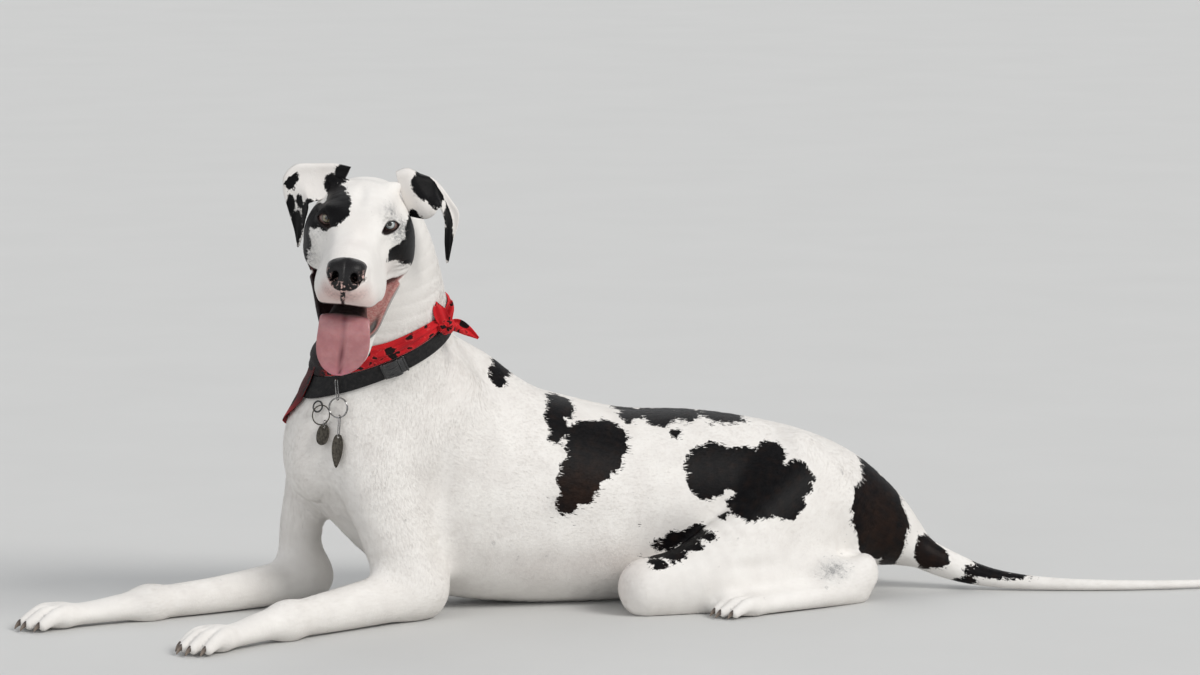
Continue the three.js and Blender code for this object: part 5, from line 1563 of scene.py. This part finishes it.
points, faces = buckle_parts()
mesh_piece("buckle_body", points, faces, "buckle", plastic_finish, ["buckle"])

# Bandana: a square folded to a band above the webbing, bunched on the right, with a corner that hangs

KNOT_AT = 137  # degrees round the neck
KNOT_HEIGHT = 19
HALF = WEBBING_WIDE / 2


def gauss(degrees, middle, spread_by):
    """Bell of one value round the neck."""
    away = (np.asarray(degrees) - middle + 540) % 360 - 180
    return np.exp(-((away / spread_by) ** 2))


def band_part(rows=300, columns=64):
    """Cloth in one closed fold round the neck: half of the columns run up its outer face, in pleats
    that draw together to the knot, and the rest back down behind."""
    a = np.linspace(0, 360, rows, endpoint=False)[:, None]
    turn = circle(columns)[None]
    across = (1 - boxy(np.cos(turn), 0.8)) / 2
    face = np.sin(turn)
    wide = 37 - 14 * gauss(a, KNOT_AT, 45)
    wave = 1.6 * np.sin(np.radians(a) * 3 + 1) + 1.0 * np.sin(np.radians(a) * 7)
    height = HALF + 0.6 + across * wide + wave * across
    stand = 4.8 + 11 * gauss(a, -55, 50)
    crown = np.maximum(np.sin(across * math.pi), 0) ** 0.6
    pleat = np.sin(across * 15 + 1.3 * np.sin(np.radians(a) * 2) + 0.8 * np.sin(np.radians(a) * 5))
    pleat2 = np.sin(across * 33 + 2 * np.sin(np.radians(a) * 3 + 2))
    near_knot = gauss(a, KNOT_AT, 60)
    off = 1.2 + stand * crown * (face > 0) * 0.9 + face * 0.8
    off = off + (face > 0) * crown * (pleat * (1.1 + 1.2 * near_knot) + 0.55 * pleat2 * (0.5 + near_knot))
    off = np.where(face > 0, np.maximum(off, 1.6), np.minimum(off, 0.9))
    part = tube(over(a, height, off), True)
    up = across * wide * MM * 1.25 + 0.06 * (face < 0)
    # painted shade: the band goes nearly black from the dog's right side round to the throat
    side = (a + 180) % 360 - 180
    dark = soft(side, -120, -90) * (1 - soft(side, 10, 32))
    return part, *[listed(value, height.shape) for value in (np.radians(a) * 0.1, up, dark)]


def corner_part(rows=70, columns=44):
    """Hanging corner: one thickness of cloth from the webbing down to its tip, rippled more towards
    its hem."""
    start, end, tip, drop = -108, 4, -36, 92
    a = np.linspace(start, end, rows)[:, None]
    reach = np.where(a < tip, (a - start) / (tip - start), (end - a) / (end - tip))
    t = np.linspace(0, 1, columns)[None]
    low = -HALF - 2 - (drop - HALF) * reach ** 0.85
    height = (HALF + 12) * (1 - t) + low * t
    below = soft(-height, HALF - 4, HALF + 4)
    ripples = 2.0 * np.sin(a / 5.2 + 2 * t) * t + 0.8 * np.sin(a / 2.3 - 3 * t) * t
    off = 6.6 * (1 - below) + 3.6 * below + ripples * 0.8 + 2.2 * t**2
    front = over(a, height, off + 0.55)
    back = over(a, height, off - 0.55)
    rings = np.concatenate([front, back[:, ::-1]], 1)
    along = np.broadcast_to(np.radians(a) * 0.1 + 0.9, height.shape)
    up = (HALF + 12 - height) * MM
    # painted shade over the whole hanging corner, darkest by the band and least at the tip
    dark = 0.3 + 0.6 * soft(height, -40, -5)
    return tube(rings), *[np.concatenate([v, v[:, ::-1]], 1).ravel() for v in (along, up, dark)]


def knot_parts():
    """Wrapped lump with three ends of cloth, each a widening pleated strap that narrows to its tip."""
    middle = over(KNOT_AT, KNOT_HEIGHT, 15).reshape(3)
    turn = circle(48)[None]
    rise = np.linspace(0.02, math.pi - 0.02, 30)[:, None]
    size = 13 * (1 + 0.10 * np.sin(3 * turn + 4 * rise) + 0.07 * np.sin(7 * turn - 3 * rise))
    ball = np.stack([
        size * 1.15 * np.sin(rise) * np.cos(turn),
        size * 0.8 * np.cos(rise) * np.ones_like(turn),
        size * 0.9 * np.sin(rise) * np.sin(turn),
    ], -1)
    parts = [(*tube(ball + middle), turn + 0 * rise, rise + 0 * turn)]
    ends = [
        [[0, 0, 0, 7, 4], [-7, -5, 14, 11, 3.5], [-13, -2, 27, 10, 2.5], [-17, 2, 39, 2, 1]],
        [[0, 0, 0, 7, 4], [5, 6, 16, 8, 3.5], [8, 6, 28, 7, 2.5], [9, 4, 40, 2, 1]],
        [[0, 0, 0, 7, 4], [17, 4, 1, 10, 3.5], [34, 3, -8, 8, 2.5], [51, -2, -20, 2, 1]],
    ]
    for number, end in enumerate(ends):
        path = smooth_path(end, 12)
        way = unit(np.gradient(path[:, :3], axis=0))
        across = unit(np.cross((0.2, -0.95, 0.1), way))
        out = np.cross(way, across)
        w = np.linspace(-1, 1, 20)
        t = np.linspace(0, 1, len(path))[:, None]
        fold = path[:, 4:5] * 0.75 * np.sin(w[None] * 4.5 + number + 3 * t) * soft(t, 0.0, 0.25)
        sheets = []
        for k in (1, -1):
            plump = (path[:, 4:5] - 1) * (1 - soft(t, 0, 0.3)) * np.sqrt(1 - 0.9 * w**2)
            high = fold + k * 0.75 + k * plump
            sheets.append(path[:, None, :3] + w[None, :, None] * path[:, 3:4, None] * across[:, None]
                          + high[..., None] * out[:, None])
        rings = np.concatenate([sheets[0], sheets[1][:, ::-1]], 1) + middle
        both = np.concatenate([w, w[::-1]])[None] + 0 * t
        parts.append((*tube(rings), t * 4 + 0 * both, both * path[:, 3:4] * 0.08))
    shapes = [outwards(part[:2]) for part in parts]
    u, v = [], []
    for number, part in enumerate(parts):
        u.append(np.append((part[2] * 0.012 + 0.3 * number).ravel(), [0, 0]))
        v.append(np.append((part[3] * 0.012).ravel(), [0, 0]))
    u, v = np.concatenate(u), np.concatenate(v)
    return *join_parts(shapes), u, v


band, along, up, dark = band_part()
hang, hang_along, hang_up, hang_shade = corner_part()
ends = np.zeros(2)
points, faces = join_parts([outwards(band), outwards(hang)])
u = np.concatenate([along, hang_along, ends])
v = np.concatenate([up, hang_up, ends])
cloth = mesh_piece("bandana_cloth", points, faces, "cloth", cloth_finish, ["bandana"],
                   {"dark": np.concatenate([dark, hang_shade, ends])}, corner_uv("cloth", faces, u, v))
points, faces, u, v = knot_parts()
knot = mesh_piece("bandana_ends", points, faces, "cloth", cloth_finish, ["bandana_knot"],
                  {"dark": np.zeros(len(points))}, corner_uv("cloth", faces, u, v))

# Rings and tags on the chest


def wire_loop(path, wire, sides=14):
    """Round wire along a closed path of points that lie nearly in one plane."""
    path = np.asarray(path)
    way = unit(np.roll(path, -1, 0) - np.roll(path, 1, 0))
    flat = unit(np.cross(way, np.roll(way, -len(path) // 4, 0)).mean(0))
    side = unit(np.cross(flat, way))
    angle = circle(sides)[None, :, None]
    rings = path[:, None] + wire * (side[:, None] * np.cos(angle) + flat * np.sin(angle))
    return outwards(tube(rings, True))


def out_at(degrees, height, up):
    """Way out of the skin at a place on the neck, made square to a direction along it."""
    out = spot(degrees, height, 0)[1][2]
    return unit(out - up * (out @ up))


def ring_path(high, low, turn=0, count=48):
    """Circle between a highest and a lowest place, turned about the line that joins them."""
    top, bottom = over(*high).reshape(3), over(*low).reshape(3)
    up = (top - bottom) / 2
    radius = np.linalg.norm(up)
    out = out_at((high[0] + low[0]) / 2, (high[1] + low[1]) / 2, up / radius)
    flat = unit(np.cross(up, out))
    side = (flat * math.cos(math.radians(turn)) + out * math.sin(math.radians(turn))) * radius
    angle = circle(count)[:, None]
    return (top + bottom) / 2 + up * np.cos(angle) + side * np.sin(angle)


def link_path(degrees, high, low, off, bend, count=14):
    """Long link that stands square to the skin, round two half circles."""
    top, bottom = over([degrees] * 2, [high - bend, low + bend], [off] * 2)
    up = unit(top - bottom)
    out = out_at(degrees, (high + low) / 2, up)
    angle = np.linspace(0, math.pi, count)[:, None]
    arc = bend * (out * np.cos(angle) + up * np.sin(angle))
    return np.concatenate([top + arc, bottom - arc])


def tag_part(where, rim, thick, hole=2.2, columns=120):
    """Flat tag round its hole: rings from the hole's rim to the tag's, with a raised border on both
    faces."""
    rim = smooth_path([[*p, 0] for p in rim], 12)[:-1, :2]
    angle = circle(columns)
    turn = np.unwrap(np.arctan2(rim[:, 0], rim[:, 1]))
    order = np.argsort(turn % (2 * math.pi))
    radius = np.interp(angle, (turn % (2 * math.pi))[order], np.hypot(*rim.T)[order], period=2 * math.pi)
    ways = np.stack([np.sin(angle), np.cos(angle)], 1)
    share = np.array([0, 0.02, 0.5, 0.80, 0.86, 0.95, 1.0])
    lift = np.array([0.7, 1.0, 0.8, 0.8, 1.15, 1.15, 0.6])
    share = np.concatenate([share, share[::-1]])
    lift = np.concatenate([lift, -lift[::-1]]) * thick / 2
    reach = hole + (radius[None] - hole) * share[:, None]
    high = np.broadcast_to(lift[:, None, None], (len(lift), columns, 1))
    rings = np.concatenate([ways[None] * reach[..., None], high], 2)
    points, faces = tube(np.swapaxes(rings, 0, 1), True)
    return outwards((at_spot(where, points), faces))


CHAIN_AT = 35  # degrees round the neck where the tags hang


def metal(name, part, finish, node, slot):
    """Piece that stands for one small node."""
    mesh_piece(name, *part, slot, finish, [node])


split = ring_path((CHAIN_AT, -14, 12), (CHAIN_AT + 0.6, -41, 8.5), 0, 96)
centre = split.mean(0)
flat = unit(np.cross(split[0] - centre, split[24] - centre))
coil = [wire_loop(split + flat * k * 0.95, 1.0) for k in (1, -1)]
metal("split_ring_wire", join_parts(coil), steel_finish, "split_ring", "ring_metal")
metal("collar_link_wire", wire_loop(link_path(CHAIN_AT, HALF, -HALF - 5.2, 12, 3.6), 0.9),
      steel_finish, "collar_link", "ring_metal")
metal("tag_link_wire", wire_loop(link_path(CHAIN_AT + 0.8, -37.6, -65, 8, 3.2), 0.9),
      steel_finish, "tag_link", "ring_metal")
metal("tag_long_plate", tag_part(spot(CHAIN_AT + 0.8, -65, 8), [
    [0, 4.6], [5, 2], [8.5, -6], [9.5, -18], [7.5, -32], [2.5, -46], [0, -49],
    [-2.5, -46], [-7.5, -32], [-9.5, -18], [-8.5, -6], [-5, 2], [0, 4.6],
], 1.8), tag_finish, "tag_long", "tag_metal")
metal("d_ring_wire", wire_loop(ring_path((17.5, -15.4, 8), (22, -27, 8)), 1.4),
      plastic_finish, "d_ring", "buckle")
metal("tag_ring_wire", wire_loop(ring_path((20.5, -20, 12.5), (27.5, -43, 9.5)), 0.95),
      tag_finish, "tag_ring", "tag_metal")
metal("tag_eye_wire", wire_loop(ring_path((27.3, -39.6, 9.5), (27.3, -47.6, 9.5), 90), 0.75),
      steel_finish, "tag_eye", "ring_metal")
metal("tag_round_plate", tag_part(spot(27.3, -47.4, 9.5), [
    [0, 4], [6, 2], [10, -5], [11, -15], [8, -25], [0, -29],
    [-8, -25], [-11, -15], [-10, -5], [-6, 2], [0, 4],
], 1.8), tag_finish, "tag_round", "tag_metal")


# Coat: thin tufts over the skins, lying along the body

TRUNK_HAIR = 8.5
FACE_HAIR_LESS = 0.55  # the face's and paws' hair is shorter by this share
LEG_HAIR_LESS = 0.35  # and that of the legs by this share of that
EAR_HAIR = 4
UNDER_CLOTH = (-11, 36)  # heights over the webbing's middle between which no hair grows
TUFTS = 62000  # in each coat piece
TUFT_RISE = (9, 16)  # degrees over the skin
UV_PATCH = 0.003
FRONT_END = -150  # x where the front coat piece ends and the rear one begins


def mesh_arrays(obj):
    """Triangles, places in millimetres and normals of a piece's mesh."""
    mesh = obj.data
    mesh.calc_loop_triangles()
    tris = np.empty(len(mesh.loop_triangles) * 3, np.int32)
    mesh.loop_triangles.foreach_get("vertices", tris)
    place, normal = (np.empty(len(mesh.vertices) * 3, np.float32) for _ in range(2))
    mesh.vertices.foreach_get("co", place)
    mesh.vertices.foreach_get("normal", normal)
    return tris.reshape(-1, 3), place.reshape(-1, 3).astype(float) / MM, normal.reshape(-1, 3).astype(float)


def bare_at(obj):
    """Share of bare skin at each point of a piece."""
    values = []
    for key in ("inner", "deep", "rim"):
        value = np.empty(len(obj.data.vertices), np.float32)
        obj.data.attributes[key].data.foreach_get("value", value)
        values.append(value)
    return np.maximum.reduce(values)


def hairy(p, normal):
    """Where hair grows: not under the collar and bandana, the nose or what presses on the floor."""
    high = (p - COLLAR_AT) @ COLLAR_FACING
    near_collar = np.linalg.norm(p - COLLAR_AT, axis=1) < 200
    near_collar &= (high > UNDER_CLOTH[0]) & (high < UNDER_CLOTH[1])
    q = to_head(p)
    nose = (nose_outline(q) < 1.5) & (q[:, 0] > 148)
    return ~near_collar & ~nose & ((p[:, 2] > 4) | (normal[:, 2] > -0.6))


def hair_length(p):
    """Length of the hair, which is shorter on the face, the paws and down the legs."""
    q = to_head(p)
    face = soft(np.linalg.norm((q - (20, 0, -50)) * (0.8, 1, 1), axis=1), 230, 150)
    off_paws = [np.hypot(p[:, 0] - leg["paw"][0], p[:, 1] - leg["paw"][1]) for leg in LEGS]
    paws = np.max([soft(off, 190, 60) for off in off_paws], 0)
    legs = soft(p[:, 2], 130, 60) * LEG_HAIR_LESS
    short = np.maximum(np.maximum(face, paws * soft(p[:, 2], 120, 80)), legs)
    return TRUNK_HAIR * (1 - FACE_HAIR_LESS * short)


def unwrap(p, normal):
    """Places on an unwrap of the skin: each limb and side of it, by the normal's greatest part, is a
    chart in its own square of a grid, drawn flat along that part."""
    limb_of = np.zeros(len(p), int)
    for start in range(0, len(p), 20000):
        part = slice(start, start + 20000)
        away = ((p[part, None] - FLOW[None, :, :3]) ** 2).sum(2) / FLOW[:, 6] ** 2
        limb_of[part] = FLOW[away.argmin(1), 7].astype(int)
    axis = np.abs(normal).argmax(1)
    facing = axis * 2 + (np.take_along_axis(normal, axis[:, None], 1)[:, 0] > 0)
    chart = limb_of * 6 + facing
    flat = np.where((axis == 0)[:, None], p[:, 1:], np.where((axis == 1)[:, None], p[:, ::2], p[:, :2]))
    side = math.ceil(math.sqrt((int(FLOW[:, 7].max()) + 1) * 6))
    uv = np.zeros((len(p), 2))
    for number in np.unique(chart):
        of = chart == number
        low, size = flat[of].min(0), np.ptp(flat[of], axis=0).max() + 1
        cell = np.array([number % side, number // side])
        uv[of] = (cell + 0.04 + 0.92 * (flat[of] - low) / size) / side
    return uv


def coat_piece(name, skins, count, seed, where, width):
    """Tufts of a root, a middle and a tip: roots are drawn evenly by area, and each tuft rises a few
    degrees and bends back along the skin. All its points have the skin's normal."""
    rng = np.random.default_rng(seed)
    roots, normals, longest = [], [], []
    parts = [(*mesh_arrays(skin), bare_at(skin)) for skin in skins]
    weights = []
    for tris, place, normal, bare in parts:
        corner = place[tris]
        area = np.linalg.norm(np.cross(corner[:, 1] - corner[:, 0], corner[:, 2] - corner[:, 0]), axis=1)
        middle = corner.mean(1)
        grows = hairy(middle, normal[tris].mean(1)) * (bare[tris].max(1) < 0.3)
        weights.append(area * where(middle) * grows)
    share = [w.sum() for w in weights]
    for (tris, place, normal, _), weight, skin in zip(parts, weights, skins):
        wanted = int(count * weight.sum() / sum(share))
        total = np.cumsum(weight)
        pick = np.searchsorted(total, (np.arange(wanted) + rng.random(wanted)) / wanted * total[-1])
        pick = tris[np.minimum(pick, len(tris) - 1)]
        a, b = np.sqrt(rng.random(wanted)), rng.random(wanted)
        mixes = np.stack([1 - a, a * (1 - b), a * b], 1)[..., None]
        roots.append((place[pick] * mixes).sum(1))
        normals.append(unit((normal[pick] * mixes).sum(1)))
        longest.append(np.full(wanted, EAR_HAIR if "ear" in skin.name else 99.0))
    p, n = np.vstack(roots), np.vstack(normals)
    lie = unit(lie_of(p, n) + 0.10 * rng.normal(size=p.shape))
    lie = unit(lie - n * (lie * n).sum(1, keepdims=True))
    long = (np.minimum(hair_length(p), np.concatenate(longest)) * rng.uniform(0.7, 1.15, len(p)))[:, None]
    tilt = np.radians(rng.uniform(*TUFT_RISE, len(p)))[:, None]
    side = np.cross(n, lie)
    half_wide = side * (width * long * rng.uniform(0.8, 1.2, long.shape))
    root = p - n * 0.5
    middle = root + (lie * np.cos(tilt) + n * np.sin(tilt)) * long * 0.55
    tip = middle + (lie * np.cos(tilt * 0.3) + n * np.sin(tilt * 0.3)) * long * 0.45
    rows = [root + half_wide, root - half_wide, middle + half_wide * 0.8, middle - half_wide * 0.8, tip]
    points = np.stack(rows, 1)
    points[..., 2] = np.maximum(points[..., 2], 0.15)
    base = np.arange(len(p))[:, None] * 5
    quad = base + np.array([[0, 1, 3, 2]])
    end = np.hstack([base + np.array([[2, 3, 4]]), np.full((len(p), 1), -1)])
    faces = np.stack([quad, end], 1).reshape(-1, 4)
    colours = markings(p)
    torn = colours["black"] + 1.5 * ripple(p, 3, 21) + rng.normal(size=len(p)) * 0.9
    chance = rng.random(len(p))
    colours["black"] = np.where(torn > 0, 30.0, -30.0)
    colours["grey"] = np.where(chance < colours["grey"] * 0.75, 0.9, colours["grey"] * 0.25)
    patch = UV_PATCH * np.array([[0, 0], [1, 0], [1, 0.5], [0, 0.5], [0, 0.5], [1, 0.5], [0.5, 1]])
    uv = unwrap(p, n)[:, None] + patch[None]
    values = {key: np.repeat(value, 5) for key, value in colours.items()}
    piece = mesh_piece(name, points.reshape(-1, 3), faces, "coat", tuft_finish, values=values,
                       uv=("OFBake", uv.reshape(-1, 2)))
    piece.data.normals_split_custom_set_from_vertices(np.repeat(n, 5, 0).astype(np.float32))
    return piece


ears = [bpy.data.objects["ear_left_leather"], bpy.data.objects["ear_right_leather"]]
coat_piece("coat_front", [body_skin], TUFTS, 31, lambda p: (p[:, 0] < FRONT_END) * 1.0, 0.055)
coat_piece("coat_rear", [body_skin], TUFTS, 32, lambda p: (p[:, 0] >= FRONT_END) * 1.0, 0.055)
coat_piece("coat_head", [head_skin, *ears], TUFTS, 33,
           lambda p: 1 + 1.5 * soft(np.linalg.norm(to_head(p) - (40, 0, -50), axis=1), 170, 110), 0.07)


# Floor and light

FLOOR_RADIUS = 30  # metres, past the edge of the picture


def floor_look(tree):
    """Pale matt floor with a faint unevenness."""
    shade = noise(tree, here(tree), 3, 3)
    return {"Base Color": colour_mix(tree, shade, (0.60, 0.60, 0.59, 1), (0.64, 0.64, 0.63, 1))}


def build_stage():
    """Round flat floor, and three wide soft suns: from the front right, the left and behind."""
    angle = circle(96)
    ring = FLOOR_RADIUS * np.stack([np.cos(angle), np.sin(angle), 0 * angle], -1)
    mesh = bpy.data.meshes.new("floor")
    mesh.from_pydata(ring.tolist(), [], [list(range(len(ring)))])
    mesh.materials.append(material("floor", floor_look, Roughness=0.8))
    floor = bpy.data.objects.new("floor", mesh)
    bpy.context.scene.collection.objects.link(floor)
    for name, towards, wide, power, colour in (
        ("key", (0.75, -1.0, 0.95), 22, 1.75, (1, 0.98, 0.95)),
        ("fill", (-1.0, -0.9, 0.55), 50, 0.5, (0.96, 0.98, 1)),
        ("back", (0.3, 1.0, 0.9), 40, 0.45, (1, 1, 1)),
    ):
        data = bpy.data.lights.new(name, "SUN")
        data.angle = math.radians(wide)
        data.energy = power
        data.color = colour
        lamp = bpy.data.objects.new(name, data)
        lamp.location = 4 * Vector(towards)
        lamp.rotation_euler = (-Vector(towards)).to_track_quat("-Z", "Y").to_euler()
        bpy.context.scene.collection.objects.link(lamp)
    world = bpy.data.worlds.new("studio")
    world.use_nodes = True
    world.node_tree.nodes["Background"].inputs["Color"].default_value = (0.95, 0.97, 1, 1)
    world.node_tree.nodes["Background"].inputs["Strength"].default_value = 0.5
    bpy.context.scene.world = world


build_stage()
bpy.context.scene.view_settings.view_transform = "Standard"
